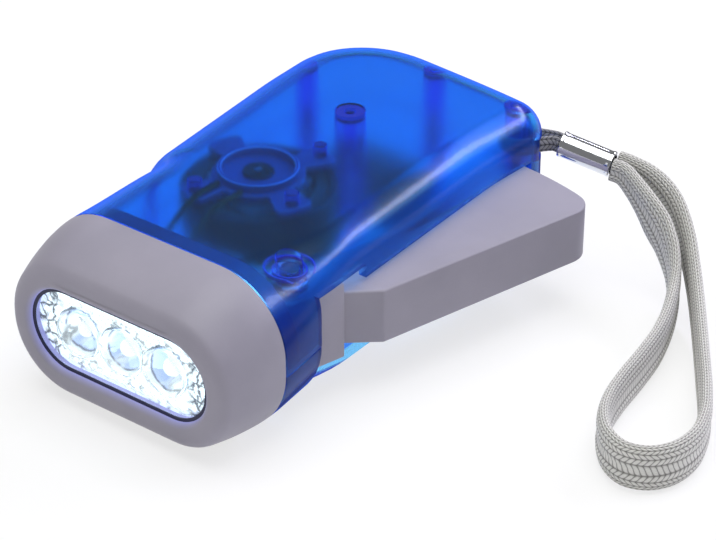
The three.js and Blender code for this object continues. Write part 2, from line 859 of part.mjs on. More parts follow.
const meshAngle = Math.atan2(drive.y - pivotY, drive.x - pivotX);
const rotorAngle = Math.atan2(rotorY - drive.y, rotorX - drive.x);
const sectorPitch = (2 * Math.PI) / sectorTeethPerTurn;

// The sector's plain outline: a slice of disc about the pin, from inside the arm to its last tooth.
function sectorOutline() {
  const spare = THREE.MathUtils.degToRad(sectorSpareDegrees);
  const before = Math.round(spare / sectorPitch);
  const teeth = before + Math.ceil((openAngle + spare) / sectorPitch) + 1;
  const row = toothRow(sectorRadius, meshAngle - before * sectorPitch, sectorPitch, teeth);
  const root = sectorRadius - dedendumShare * gearModule;
  const start = Math.PI / 2 + THREE.MathUtils.degToRad(sectorTongueDegrees);
  const end = meshAngle - (before + 0.5) * sectorPitch;
  const steps = 4;
  const plain = Array.from({ length: steps + 1 }, (_, k) =>
    polar(root, THREE.MathUtils.lerp(start, end, k / steps)),
  );
  return [[0, 0], ...plain, ...row];
}

function sectorBlank(grow, z0, z1) {
  const slice = sectorOutline();
  const shifts = inwards(slice);
  const grown = slice.map(([x, y], i) => [x - shifts[i][0] * grow, y - shifts[i][1] * grow]);
  return plate(grown, z0, z1).add(disc(0, 0, sectorHubRadius + grow, z0, z1));
}

function sectorGear() {
  const bore = disc(0, 0, pinRadius + runGap, sectorBottom - overrun, sectorTop + overrun);
  return sectorBlank(0, sectorBottom, sectorTop).subtract(bore);
}

// Lever, in its own frame about the pin and as it lies when squeezed flush
function lever() {
  const cornerTurn = Math.acos(armFaceX / armReach);
  const tailTurn = Math.acos(armTailX / armReach);
  const endSteps = 3;
  const end = Array.from({ length: endSteps + 1 }, (_, k) => {
    const [x, y] = polar(armReach, THREE.MathUtils.lerp(cornerTurn, tailTurn, k / endSteps));
    return [x, y, k ? 0 : armCornerRadius];
  });
  const arm = roundedOutline([
    [armInnerX, 0, 0],
    [armShoulderX, 0, 0],
    [armShoulderX, armShoulderY, 0],
    [armFaceX, armFrontY, 0],
    ...end,
    [armInnerX, armFlareY, 0],
  ]);
  const hubBlock = [
    [-hubRadius, 0],
    [hubFaceX, 0],
    [hubFaceX, hubLength],
    [-hubRadius, hubLength],
  ];
  const pinBore = disc(0, 0, pinRadius + runGap, hubBottom - overrun, hubTop + overrun);
  return plate(arm, armBottom, armTop)
    .add(plate(hubBlock, hubBottom, hubTop))
    .add(disc(0, 0, hubRadius, hubBottom, hubTop, 24))
    .subtract(pinBore)
    .subtract(sectorBlank(fitGap, sectorBottom - fitGap, sectorTop + fitGap));
}

const leverPin = () => disc(pivotX, pivotY, pinRadius, hubBottom - pinSeatDepth, hubTop + pinSeatDepth);

// Return spring: a close coil round the upper pin boss, with a leg on the hub and one on the shell
function springPoints() {
  const radius = pinBossRadius + fitGap + springWireRadius;
  const low = hubTop + fitGap + springWireRadius;
  const count = springTurnCount * springStepsPerTurn;
  const coil = Array.from({ length: count + 1 }, (_, i) => {
    const [x, y] = polar(radius, Math.PI + (i * 2 * Math.PI) / springStepsPerTurn);
    return [x, y, low + (i * springPitch) / springStepsPerTurn];
  });
  const high = coil[count][2];
  return [[-radius, springLegLength, low], ...coil, [-radius, -springLegLength / 2, high]];
}

function returnSpring() {
  const points = springPoints();
  const gaps = points.flatMap((p, i) =>
    points.slice(i + springStepsPerTurn - 1).map((q) => Math.hypot(p[0] - q[0], p[1] - q[1], p[2] - q[2])),
  );
  console.log("least gap in the spring " + (Math.min(...gaps) - 2 * springWireRadius).toFixed(2) + " mm");
  const placed = points.map(([x, y, z]) => [pivotX + x, pivotY + y, z]);
  return bar(placed, springWireRadius, springSides, springTurnCount * springStepsPerTurn + springLegSteps);
}

// Drive gears, in their own frame about their axle
const driveWheelTop = driveWheelBottom + driveWheelThickness;
const clutchBottom = driveWheelTop + clutchDogLength;

const clutchDogRing = (z0, z1, phase) => {
  const width = Math.PI / clutchDogCount / 2;
  const inner = drivePinionShankRadius + fitGap;
  const dogs = Array.from({ length: clutchDogCount }, (_, i) => {
    const middle = phase + (i * 2 * Math.PI) / clutchDogCount;
    const corners = [[inner, -width], [clutchRadius, -width], [clutchRadius, width], [inner, width]];
    return plate(corners.map(([r, turn]) => polar(r, middle + turn)), z0, z1);
  });
  return joined(dogs);
};

function driveWheel() {
  const wheel = toothed(driveWheelRadius, driveWheelTeeth, rotorAngle, driveWheelBottom, driveWheelTop);
  const bore = disc(0, 0, gearAxleRadius + runGap, driveWheelBottom - overrun, driveWheelTop + overrun, 16);
  return wheel.add(clutchDogRing(driveWheelTop - pressGap, clutchBottom - fitGap, 0)).subtract(bore);
}

function drivePinion() {
  const top = sectorTop + fitGap;
  const phase = meshAngle + Math.PI + Math.PI / drivePinionTeeth;
  const bore = disc(0, 0, gearAxleRadius + runGap, driveWheelBottom, top + overrun, 16);
  return toothed(drivePinionRadius, drivePinionTeeth, phase, sectorBottom - fitGap, top)
    .add(disc(0, 0, drivePinionShankRadius, driveWheelTop + fitGap, sectorBottom, 16))
    .add(disc(0, 0, clutchRadius, clutchBottom, clutchBottom + clutchThickness))
    .add(clutchDogRing(driveWheelTop + fitGap, clutchBottom + pressGap, Math.PI / clutchDogCount))
    .subtract(bore);
}

const axleTop = flywheelBottom - fitGap;
const gearAxle = () =>
  disc(drive.x, drive.y, gearAxleRadius, axleSeatDepth + pressGap, axleTop, 16);
const axleClip = () => {
  const z0 = sectorTop + 2 * fitGap;
  return ring(gearAxleRadius + pressGap, clipRadius, z0, z0 + clipThickness, 16);
};

// Rotor, in its own frame about its shaft
const shaftTop = bridgeBottom + bridgeThickness + bushFlange + fitGap;
const rotorShaft = () => disc(0, 0, shaftRadius, axleSeatDepth + pressGap, shaftTop, 12);

function rotorPinion() {
  const phase = rotorAngle + Math.PI + Math.PI / rotorPinionTeeth;
  const z0 = driveWheelBottom - pressGap;
  const bore = disc(0, 0, shaftRadius + pressGap, z0 - overrun, driveWheelTop + overrun, 12);
  return toothed(rotorPinionRadius, rotorPinionTeeth, phase, z0, driveWheelTop + pressGap).subtract(bore);
}

function flywheel() {
  const bore = shaftRadius + pressGap;
  const floor = flywheelBottom + flywheelFloor;
  const inner = flywheelRadius - flywheelRim;
  return turned([
    [bore, flywheelBottom],
    [flywheelRadius, flywheelBottom],
    [flywheelRadius, flywheelTop],
    [inner, flywheelTop],
    [inner, floor],
    [flywheelHubRadius, floor],
    [flywheelHubRadius, floor + flywheelHubRise],
    [bore, floor + flywheelHubRise],
    [bore, flywheelBottom],
  ]);
}

const magnetOuter = flywheelRadius - flywheelRim - fitGap;
const magnetInner = magnetOuter - magnetThickness;
const magnetRing = () =>
  ring(magnetInner, magnetOuter, flywheelBottom + flywheelFloor + fitGap, flywheelTop - fitGap);

// Stator, hung from the bridge inside the magnet ring
const statorRadius = magnetInner - airGap;
const statorTop = bridgeBottom - fitGap;
const statorBottom = flywheelBottom + flywheelFloor + flywheelHubRise + 2 * fitGap;

function yoke(discZ, isTop) {
  const clawEnd = isTop ? statorBottom + 2 * yokeThickness : statorTop - 2 * yokeThickness;
  const z0 = isTop ? clawEnd : discZ + yokeThickness / 2;
  const z1 = isTop ? discZ + yokeThickness / 2 : clawEnd;
  const half = THREE.MathUtils.degToRad(yokeToothDegrees) / 2;
  const turnStep = (2 * Math.PI) / yokeToothCount;
  const inner = statorRadius - yokeThickness;
  const claws = Array.from({ length: yokeToothCount }, (_, i) => {
    const middle = (i + (isTop ? 0.5 : 0)) * turnStep;
    const edge = [-1, 1].map((k) => polar(statorRadius, middle + k * half));
    const back = [1, -1].map((k) => polar(inner, middle + k * half));
    return plate([...edge, ...back], z0, z1);
  });
  const spokes = Array.from({ length: yokeToothCount }, (_, i) => {
    const middle = (i + (isTop ? 0.5 : 0)) * turnStep;
    const rim = [-1, 1].map((k) => polar(statorRadius, middle + k * half));
    return plate([[0, 0], ...rim], discZ, discZ + yokeThickness);
  });
  const face = disc(0, 0, (yokeBore + statorRadius) / 2, discZ, discZ + yokeThickness);
  const bore = disc(0, 0, yokeBore, discZ - overrun, discZ + yokeThickness + overrun);
  return joined([face, ...spokes, ...claws]).subtract(bore);
}

const bobbinBottom = statorBottom + yokeThickness + fitGap;
const bobbinTop = statorTop - yokeThickness - fitGap;
const bobbinRadius = statorRadius - yokeThickness - fitGap;

const bobbin = () =>
  turned([
    [yokeBore, bobbinBottom],
    [bobbinRadius, bobbinBottom],
    [bobbinRadius, bobbinBottom + bobbinWall],
    [yokeBore + bobbinCore, bobbinBottom + bobbinWall],
    [yokeBore + bobbinCore, bobbinTop - bobbinWall],
    [bobbinRadius, bobbinTop - bobbinWall],
    [bobbinRadius, bobbinTop],
    [yokeBore, bobbinTop],
    [yokeBore, bobbinBottom],
  ], 24);

const coil = () => {
  const inner = yokeBore + bobbinCore + fitGap;
  const outer = Math.min(inner + coilThickness, bobbinRadius - fitGap);
  return ring(inner, outer, bobbinBottom + bobbinWall + fitGap, bobbinTop - bobbinWall - fitGap, 24);
};

// Bearing bridge: a lobed plate under the top of the body, with a ring round the bush
const bridgeTop = bridgeBottom + bridgeThickness;

function bearingBridge() {
  const half = THREE.MathUtils.degToRad(bridgeLobeDegrees) / 2;
  const turn = THREE.MathUtils.degToRad(bridgeTurnDegrees);
  const lobes = Array.from({ length: bridgeLobeCount }, (_, i) => {
    const middle = turn + (i * 2 * Math.PI) / bridgeLobeCount;
    const rim = [-1, -0.5, 0, 0.5, 1].map((k) => polar(bridgeLobeReach, middle + k * half));
    const [pegX, pegY] = polar(bridgeLobeReach * bridgePegPlaceShare, middle);
    const peg = disc(pegX, pegY, bridgePegRadius, bridgeBottom, bodyHeight, 12);
    return plate([[0, 0], ...rim], bridgeBottom, bridgeTop).add(peg);
  });
  const ringBore = bridgeRingRadius - bridgeRingWall;
  const underShell = solid(bodySkin(wall + fitGap, 0).translate(-rotorX, -rotorY, 0));
  return disc(0, 0, bridgeRadius, bridgeBottom, bridgeTop, 28)
    .add(joined(lobes))
    .add(ring(ringBore, bridgeRingRadius, bridgeBottom, bridgeTop + bridgeRingHeight))
    .subtract(disc(0, 0, bushRadius - bushFlange, bridgeBottom - overrun, bridgeTop + overrun))
    .intersect(underShell);
}

const bridgeBush = () => {
  const bore = shaftRadius + runGap;
  const outer = bushRadius - bushFlange - pressGap;
  const seat = bridgeTop + pressGap;
  return turned([
    [bore, bridgeBottom],
    [outer, bridgeBottom],
    [outer, seat],
    [bushRadius, seat],
    [bushRadius, seat + bushFlange],
    [bore, seat + bushFlange],
    [bore, bridgeBottom],
  ], 24);
};

// Button cells in a row across the rear of the body between three posts, in a cradle on its floor
const cellPitch = cellThickness + cellStep + cellGap;
const cellHeight = wall + fitGap + cradleWall + cellRadius + fitGap;
const cradleHalf = (cellCount * cellPitch) / 2 + fitGap;
const cradleDepth = cellRadius - cradleWall;
const cellX = posts[3].x + postFootRadius + cellPostGap + cradleWall + cradleHalf;
const cellY = (posts[0].y + posts[1].y) / 2;
const cellPlaces = Array.from(
  { length: cellCount },
  (_, i) => cellX + (i - (cellCount - 1) / 2) * cellPitch,
);

function buttonCell(x) {
  const left = x - (cellThickness + cellStep) / 2;
  const profile = [
    [0, left],
    [cellRadius, left],
    [cellRadius, left + cellThickness],
    [cellStepRadius, left + cellThickness],
    [cellStepRadius, left + cellThickness + cellStep],
    [0, left + cellThickness + cellStep],
  ];
  const points = profile.map(([r, along]) => new THREE.Vector2(r, along));
  const geometry = new THREE.LatheGeometry(points, 24).rotateZ(-Math.PI / 2);
  return solid(geometry.translate(0, cellY, cellHeight));
}

function cellCradle() {
  const floor = wall + fitGap;
  const [front, rear] = [cellY - cradleDepth, cellY + cradleDepth];
  const reach = cradleHalf + cradleWall;
  const base = block(cellX - reach, cellX + reach, front, rear, floor, floor + cradleHeight);
  const ends = [-1, 1].map((side) => {
    const inner = cellX + side * cradleHalf;
    const outer = inner + side * cradleWall;
    const [x0, x1] = [Math.min(inner, outer), Math.max(inner, outer)];
    return block(x0, x1, front, rear, floor, cellHeight + cellRadius / 2);
  });
  const trough = solid(
    new THREE.CylinderGeometry(cellRadius + fitGap, cellRadius + fitGap, 2 * cradleHalf, 24)
      .rotateZ(Math.PI / 2)
      .translate(cellX, cellY, cellHeight),
  );
  return base.subtract(trough).add(joined(ends)).intersect(bodySolid(wall + fitGap, 0));
}

// Wires: coil leads forward over the bridge to the board, and cell leads along the grip's side
function coilLead(side) {
  const x = rotorX + side * bushRadius;
  const over = bridgeTop + wireRadius + pressGap;
  const reach = rotorY - bridgeLobeReach;
  const land = windowCentreHeight + windowRadius / 2;
  const points = [
    [x, rotorY - bridgeRadius + wireRadius, over],
    [x, reach, over],
    [x, (reach + seamY) / 2, (over + land) / 2],
    [x, seamY + wall, land],
    [x, optics.boardBack + fitGap, land],
  ];
  return bar(points, wireRadius, wireSides, coilLeadSteps);
}

function cellLead(side) {
  const end = cellX + side * (cradleHalf + cradleWall + fitGap);
  const front = cellY - cradleDepth - leadCradleGap;
  const run = gripX * leadRunShare + (side * leadPitch) / 2;
  const landX = windowRadius - windowHalfLength + (side * leadPitch) / 2;
  const landHeight = windowCentreHeight - windowRadius / 2;
  const roundFront = [[end, front, leadHeight], [cellX, front, leadHeight]];
  const points = [
    [end, cellY, cellHeight],
    [end + side * wireRadius, cellY, cellHeight],
    [end + side * leadBend, cellY - leadBend, cellHeight],
    ...(side > 0 ? roundFront : []),
    [run, posts[0].y, leadHeight],
    [run, rotorY, leadHeight],
    [(run + landX) / 2, pivotY, (leadHeight + landHeight) / 2],
    [landX, optics.boardBack + fitGap, landHeight],
  ];
  return bar(points, wireRadius, wireSides, cellLeadSteps);
}

// Strap: a flat band that stands on edge, along a line through points
class BandLine extends THREE.CatmullRomCurve3 {
  computeFrenetFrames(segments) {
    const up = new THREE.Vector3(0, 0, 1);
    const tangents = Array.from({ length: segments + 1 }, (_, i) => this.getTangentAt(i / segments));
    const normals = tangents.map((t) => t.clone().cross(up).normalize());
    const binormals = tangents.map((t, i) => t.clone().cross(normals[i]).normalize());
    return { tangents, normals, binormals };
  }
}

function band(points, halfThickness, halfWidth, steps) {
  const soft = halfThickness / 2;
  const corners = [[-1, -1], [1, -1], [1, 1], [-1, 1]];
  const section = corners.flatMap(([a, b]) => {
    const flank = [a * halfThickness, b * (halfWidth - soft)];
    const edge = [a * (halfThickness - soft), b * halfWidth];
    return a * b > 0 ? [flank, edge] : [edge, flank];
  });
  const shape = new THREE.Shape(section.map(([x, y]) => new THREE.Vector2(x, y)));
  const extrudePath = new BandLine(points.map((p) => new THREE.Vector3(...p)), false, "centripetal");
  return solid(new THREE.ExtrudeGeometry(shape, { steps, extrudePath, bevelEnabled: false }));
}

// Its places from the ferrule's inner end. The third number is the share of the way up to its mouth.
const strapPlaceShares = [
  [10.92, 0.64, 0.9946],
  [13.1, 1.1, 0.9682],
  [15.9, 0.7, 0.8662],
  [20.9, -1.3, 0.6942],
  [25.5, -3.3, 0.4853],
  [28.9, -5.8, 0.2887],
  [31.4, -9.1, 0.1352],
  [34.1, -14.9, 0.0369],
  [36.7, -22.9, 0],
  [38.4, -31.6, 0],
  [39.6, -40, 0],
  [41, -46.3, 0],
  [43.3, -51.5, 0],
  [46.9, -55.6, 0],
  [51.2, -57.3, 0],
  [55.1, -56, 0],
  [57.7, -52.4, 0],
  [58.4, -47, 0],
  [56.8, -41, 0],
  [53.1, -34.1, 0],
  [48, -26.2, 0],
  [42.5, -18, 0.0246],
  [37.3, -10.6, 0.1044],
  [33.1, -5.3, 0.2457],
  [29.3, -1.4, 0.43],
  [25.2, 1.5, 0.6205],
  [20.9, 3.3, 0.7925],
  [16.8, 4.2, 0.9031],
  [12.4, 4.33, 0.9682],
  [10.23, 3.86, 0.9946],
];
const strapRest = strapHalfWidth + strapFloorGap;
const strapMouth = ferruleHeight - ferruleLength * Math.sin(THREE.MathUtils.degToRad(ferruleDropDegrees));
const strapLine = strapPlaceShares.map(([x, y, share]) => [
  ferruleX + x,
  ferruleY + y,
  THREE.MathUtils.lerp(strapRest, strapMouth, share),
]);

const ferruleYaw = THREE.MathUtils.degToRad(ferruleYawDegrees);
const ferruleDrop = THREE.MathUtils.degToRad(ferruleDropDegrees);

// A point beside the ferrule's axis, a distance along it from its inner end.
function byFerrule(along, aside) {
  const level = along * Math.cos(ferruleDrop);
  return [
    ferruleX + level * Math.cos(ferruleYaw) - aside * Math.sin(ferruleYaw),
    ferruleY + level * Math.sin(ferruleYaw) + aside * Math.cos(ferruleYaw),
    ferruleHeight - along * Math.sin(ferruleDrop),
  ];
}

function ferrule() {
  const bead = ferruleRadius + ferruleBead;
  const profile = [
    [ferruleBore, 0],
    [bead, 0],
    [bead, ferruleBeadLength],
    [ferruleRadius, ferruleBeadLength + ferruleBead],
    [ferruleRadius, ferruleLength - ferruleBeadLength - ferruleBead],
    [bead, ferruleLength - ferruleBeadLength],
    [bead, ferruleLength],
    [ferruleBore, ferruleLength],
    [ferruleBore, 0],
  ];
  return turned(profile, 20);
}

// The inner end of the braid, from the ferrule round the strap post and back to the ferrule.
function strapAnchor() {
  const dx = ferruleX - strapPost.x;
  const dy = ferruleY - strapPost.y;
  const radius = strapPost.radius + fitGap + anchorHalfThickness;
  const touch = Math.acos((radius - anchorEndSpread) / Math.hypot(dx, dy));
  const first = Math.atan2(dy, dx) + touch;
  const wrap = 2 * (Math.PI - touch);
  const back = Array.from({ length: anchorWrapSteps + 1 }, (_, k) => {
    const [x, y] = polar(radius, first + (wrap * k) / anchorWrapSteps);
    return [strapPost.x + x, strapPost.y + y, ferruleHeight + anchorRise];
  });
  const ends = [1, -1].map((side) => [
    byFerrule(-fitGap, side * anchorEndSpread),
    byFerrule(-fitGap - 2 * anchorHalfThickness, side * anchorEndSpread),
  ]);
  const points = [...ends[0], ...back, ...ends[1].reverse()];
  return band(points, anchorHalfThickness, anchorHalfHeight, anchorSteps);
}

// Assembly
const flashlight = new THREE.Group();
const addTo = (group, name, shape, material) => group.add(piece(name, shape, material));
const fixed = (name, shape, material) => addTo(flashlight, name, shape, material);

fixed("upper_shell", upperShell(), blueClear);
fixed("lower_shell", lowerShell(), blueClear);
posts.forEach((p, i) => fixed(`case_screw_${i + 1}`, screw(p), steel));
fixed("bezel", bezel(), greyPlastic);
fixed("lens_cover", lensCover(), clearPlastic);
fixed("reflector", reflector(), brightMetal);
ledPlaces.forEach((x, i) => fixed(`led_${i + 1}`, led(x), clearPlastic));
fixed("led_board", ledBoard(), boardGreen);
fixed("rectifier", rectifier(), darkPlastic);
fixed("lever_pin", leverPin(), steel);
fixed("return_spring", returnSpring(), steel);
fixed("gear_axle", gearAxle(), steel);
cellPlaces.forEach((x, i) => fixed(`button_cell_${i + 1}`, buttonCell(x), steel));
fixed("cell_cradle", cellCradle(), darkPlastic);
[-1, 1].forEach((side, i) => {
  fixed(`coil_lead_${i + 1}`, coilLead(side), copper);
  fixed(`cell_lead_${i + 1}`, cellLead(side), darkPlastic);
});
fixed("wrist_strap", band(strapLine, strapHalfThickness, strapHalfWidth, strapSteps), braid);
fixed("strap_anchor", strapAnchor(), braid);

const strapFerrule = piece("strap_ferrule", ferrule(), brightMetal);
strapFerrule.position.set(ferruleX, ferruleY, ferruleHeight);
strapFerrule.rotation.set(0, Math.PI / 2 + ferruleDrop, ferruleYaw, "ZYX");
flashlight.add(strapFerrule);

const leverGroup = new THREE.Group();
leverGroup.position.set(pivotX, pivotY, 0);
leverGroup.rotation.z = -openAngle;
addTo(leverGroup, "lever", lever(), greyPlastic);
addTo(leverGroup, "sector_gear", sectorGear(), whitePlastic);

const driveGroup = new THREE.Group();
driveGroup.position.set(drive.x, drive.y, 0);
driveGroup.rotation.z = (openAngle * sectorTeethPerTurn) / drivePinionTeeth;
addTo(driveGroup, "drive_wheel", driveWheel(), whitePlastic);
addTo(driveGroup, "drive_pinion", drivePinion(), whitePlastic);
addTo(driveGroup, "axle_clip", axleClip(), steel);

const rotorGroup = new THREE.Group();
rotorGroup.position.set(rotorX, rotorY, 0);
rotorGroup.rotation.z = (-driveGroup.rotation.z * driveWheelTeeth) / rotorPinionTeeth;
addTo(rotorGroup, "rotor_shaft", rotorShaft(), steel);
addTo(rotorGroup, "rotor_pinion", rotorPinion(), brass);
addTo(rotorGroup, "flywheel", flywheel(), darkPlastic);
addTo(rotorGroup, "magnet_ring", magnetRing(), magnet);

const generatorGroup = new THREE.Group();
generatorGroup.position.set(rotorX, rotorY, 0);
addTo(generatorGroup, "yoke_bottom", yoke(statorBottom, false), steel);
addTo(generatorGroup, "yoke_top", yoke(statorTop - yokeThickness, true), steel);
addTo(generatorGroup, "coil_bobbin", bobbin(), whitePlastic);
addTo(generatorGroup, "stator_coil", coil(), copper);
addTo(generatorGroup, "bearing_bridge", bearingBridge(), darkPlastic);
addTo(generatorGroup, "bridge_bush", bridgeBush(), brass);

flashlight.add(leverGroup, driveGroup, rotorGroup, generatorGroup);
export default flashlight;
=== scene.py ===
import math
import bmesh
import bpy
from mathutils import Matrix, Vector


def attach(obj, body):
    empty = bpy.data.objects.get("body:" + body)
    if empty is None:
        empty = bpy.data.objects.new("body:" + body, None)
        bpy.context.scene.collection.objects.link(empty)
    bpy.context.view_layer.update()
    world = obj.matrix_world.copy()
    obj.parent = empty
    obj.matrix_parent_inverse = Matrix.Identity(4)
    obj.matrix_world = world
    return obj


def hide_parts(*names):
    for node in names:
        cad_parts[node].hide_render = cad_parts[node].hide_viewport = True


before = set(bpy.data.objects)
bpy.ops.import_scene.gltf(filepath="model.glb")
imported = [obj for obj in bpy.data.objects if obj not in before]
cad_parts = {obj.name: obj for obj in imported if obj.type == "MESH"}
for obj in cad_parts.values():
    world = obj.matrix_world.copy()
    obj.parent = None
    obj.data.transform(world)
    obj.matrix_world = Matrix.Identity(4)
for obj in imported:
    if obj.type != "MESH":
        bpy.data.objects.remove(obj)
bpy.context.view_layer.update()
scene = bpy.context.scene
scene.view_settings.view_transform = "Standard"
MM = 0.001


# Camera
# A long lens a little under half a metre from the flashlight, looking down on its lamp end and lever
# side. The target is the middle of the picture.
CAMERA_AZIMUTH = math.radians(37.4)
CAMERA_ELEVATION = math.radians(32)
CAMERA_DISTANCE = 448 * MM
CAMERA_TARGET = Vector((16.2, -4.9, 15.9)) * MM
SENSOR_WIDTH = 36
LENS = 125.7
CLIP_START = 10 * MM

towards_camera = Vector((
    math.sin(CAMERA_AZIMUTH) * math.cos(CAMERA_ELEVATION),
    -math.cos(CAMERA_AZIMUTH) * math.cos(CAMERA_ELEVATION),
    math.sin(CAMERA_ELEVATION),
))
camera = bpy.data.objects.new("camera", bpy.data.cameras.new("camera"))
camera.data.sensor_fit = "HORIZONTAL"
camera.data.sensor_width = SENSOR_WIDTH
camera.data.lens = LENS
camera.data.clip_start = CLIP_START
camera.location = CAMERA_TARGET + towards_camera * CAMERA_DISTANCE
camera.rotation_euler = towards_camera.to_track_quat("Z", "Y").to_euler()
scene.collection.objects.link(camera)
scene.camera = camera


# Wrist strap
# A flat hollow braid of pale grey yarn, 9 mm wide, that leaves the ferrule as two legs side by side and
# lies on its edge in one loose loop. Its two edges are fuller than its middle.
STRAP_ROUTE = [
    (37.42, 45.64, 21.09),
    (39.6, 46.1, 20.66),
    (42.4, 45.7, 19),
    (47.4, 43.7, 16.2),
    (52, 41.7, 12.8),
    (55.4, 39.2, 9.6),
    (57.9, 35.9, 7.1),
    (60.6, 30.1, 5.5),
    (63.2, 22.1, 4.9),
    (64.9, 13.4, 4.9),
    (66.1, 5, 4.9),
    (67.5, -1.3, 4.9),
    (69.8, -6.5, 4.9),
    (73.4, -10.6, 4.9),
    (77.7, -12.3, 4.9),
    (81.6, -11, 4.9),
    (84.2, -7.4, 4.9),
    (84.9, -2, 4.9),
    (83.3, 4, 4.9),
    (79.6, 10.9, 4.9),
    (74.5, 18.8, 4.9),
    (69, 27, 5.3),
    (63.8, 34.4, 6.6),
    (59.6, 39.7, 8.9),
    (55.8, 43.6, 11.9),
    (51.7, 46.5, 15),
    (47.4, 48.3, 17.8),
    (43.3, 49.2, 19.6),
    (38.9, 49.33, 20.66),
    (36.73, 48.86, 21.09),
]
STRAP_WIDTH = 9
STRAP_THICKNESS = 2.6
STRAP_END_WIDTH = 4.6  # where the ferrule gathers it
STRAP_GATHER = 16  # length over which it spreads to its full width
STRAP_WAIST_SHARE = 0.72  # thickness of the middle, of the edges'
STRAP_STEP = 0.27
YARN_COLUMNS = 22  # of slanted stitches round the strap, with a groove between each two
COLUMN_SIDES = 4
STRAP_SIDES = YARN_COLUMNS * COLUMN_SIDES
STITCH_PITCH = 0.9
YARN_HEIGHT = 0.13
YARN_CROWN = 1.3  # how fast a column rises from its groove to its flat crown
STITCH_DIP = 0.3  # share of its height that a stitch loses at its ends
STRAP_EDGE_POWER = 0.75  # below 1, these make the flattened section's edges and faces fuller
STRAP_FACE_POWER = 0.8
STRAP_WAIST_REACH = 0.32  # share of the width, from the middle out, over which it is thinner
UP = Vector((0, 0, 1))


def linear(*srgb):
    """Linear colour with alpha from red, green and blue as seen, 0 to 255."""
    return tuple(((c / 255 + 0.055) / 1.055) ** 2.4 if c > 10 else c / 255 / 12.92 for c in srgb) + (1,)


def smoothstep(value, low, high):
    """0 up to low, 1 from high on, and an easy slope between them."""
    share = min(1, max(0, (value - low) / (high - low)))
    return share * share * (3 - 2 * share)


def centripetal(points, step):
    """Evenly spaced points on the smooth curve through points, in the units of points."""
    ends = [points[0] * 2 - points[1]] + points + [points[-1] * 2 - points[-2]]
    fine = []
    for p0, p1, p2, p3 in zip(ends, ends[1:], ends[2:], ends[3:]):
        t1 = (p1 - p0).length ** 0.5
        t2 = t1 + (p2 - p1).length ** 0.5
        t3 = t2 + (p3 - p2).length ** 0.5
        pieces = max(2, int((p2 - p1).length / step * 2))
        for k in range(pieces):
            t = t1 + (t2 - t1) * k / pieces
            a1 = p0.lerp(p1, t / t1)
            a2 = p1.lerp(p2, (t - t1) / (t2 - t1))
            a3 = p2.lerp(p3, (t - t2) / (t3 - t2))
            b1 = a1.lerp(a2, t / t2)
            b2 = a2.lerp(a3, (t - t1) / (t3 - t1))
            fine.append(b1.lerp(b2, (t - t1) / (t2 - t1)))
    fine.append(points[-1])
    along = [0.0]
    for p, q in zip(fine, fine[1:]):
        along.append(along[-1] + (q - p).length)
    count = round(along[-1] / step)
    spaced, i = [], 0
    for k in range(count + 1):
        s = along[-1] * k / count
        while i < len(fine) - 2 and along[i + 1] < s:
            i += 1
        spaced.append(fine[i].lerp(fine[i + 1], (s - along[i]) / (along[i + 1] - along[i])))
    return spaced


def add_piece(name, vertices, faces, material, body="root", sharp_degrees=35):
    """A mesh object from vertices in millimetres, smooth but for its sharp edges, that rides on body."""
    mesh = bpy.data.meshes.new(name)
    mesh.from_pydata([Vector(v) * MM for v in vertices], [], faces)
    mesh.validate()
    piece = bpy.data.objects.new(name, mesh)
    scene.collection.objects.link(piece)
    finish_piece(piece, material, body, sharp_degrees)
    return piece


def finish_piece(piece, material, body, sharp_degrees=35):
    """Gives a piece its shading, material, body and material slot."""
    mesh = piece.data
    mesh.shade_smooth()
    mesh.set_sharp_from_angle(angle=math.radians(sharp_degrees))
    mesh.materials.clear()
    mesh.materials.append(material)
    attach(piece, body)


def tube_faces(rings, sides, closed=False):
    """Faces between rings of points, with an end face at each end unless the rings close on themselves."""
    faces = []
    for r in range(rings if closed else rings - 1):
        here, there = r * sides, (r + 1) % rings * sides
        for i in range(sides):
            j = (i + 1) % sides
            faces.append((here + i, here + j, there + j, there + i))
    if not closed:
        faces.append(tuple(reversed(range(sides))))
        faces.append(tuple(range((rings - 1) * sides, rings * sides)))
    return faces


def fill(links, node, **sockets):
    """Sets or links a node's inputs, with _ for a space in their names, and hands the node back."""
    for name, value in sockets.items():
        socket = node.inputs[name.replace("_", " ")]
        if isinstance(value, bpy.types.NodeSocket):
            links.new(value, socket)
        else:
            socket.default_value = value
    return node


def new_material(name, **sockets):
    """A Principled material with filled sockets: the material, its nodes, its links and the shader."""
    material = bpy.data.materials.new(name)
    material.use_nodes = True
    nodes, links = material.node_tree.nodes, material.node_tree.links
    return material, nodes, links, fill(links, nodes["Principled BSDF"], **sockets)


def math_node(nodes, links, operation, a, b=None):
    """A Math node on sockets or numbers, and its output."""
    node = nodes.new("ShaderNodeMath")
    node.operation = operation
    for k, value in enumerate((a, b)):
        if isinstance(value, bpy.types.NodeSocket):
            links.new(value, node.inputs[k])
        elif value is not None:
            node.inputs[k].default_value = value
    return node.outputs[0]


# the yarn's crevice colour is painted shade; its crown colour is the yarn's own
YARN_CREVICE_SHADE = linear(128, 127, 121)
YARN_LIGHT = linear(238, 237, 231)


def colour_ramp(nodes, links, value, *stops):
    """A Color Ramp node on a value, with (position, colour) stops, and its colour."""
    node = nodes.new("ShaderNodeValToRGB")
    elements = node.color_ramp.elements
    while len(elements) < len(stops):
        elements.new(1)
    for element, (position, colour) in zip(elements, stops):
        element.position = position
        element.color = colour
    links.new(value, node.inputs["Fac"])
    return node.outputs["Color"]


def map_range(nodes, links, value, from_low, from_high, to_low=0, to_high=1):
    """A clamped Map Range node on a value, and its result."""
    node = nodes.new("ShaderNodeMapRange")
    fill(links, node, From_Min=from_low, From_Max=from_high, To_Min=to_low, To_Max=to_high, Value=value)
    return node.outputs["Result"]


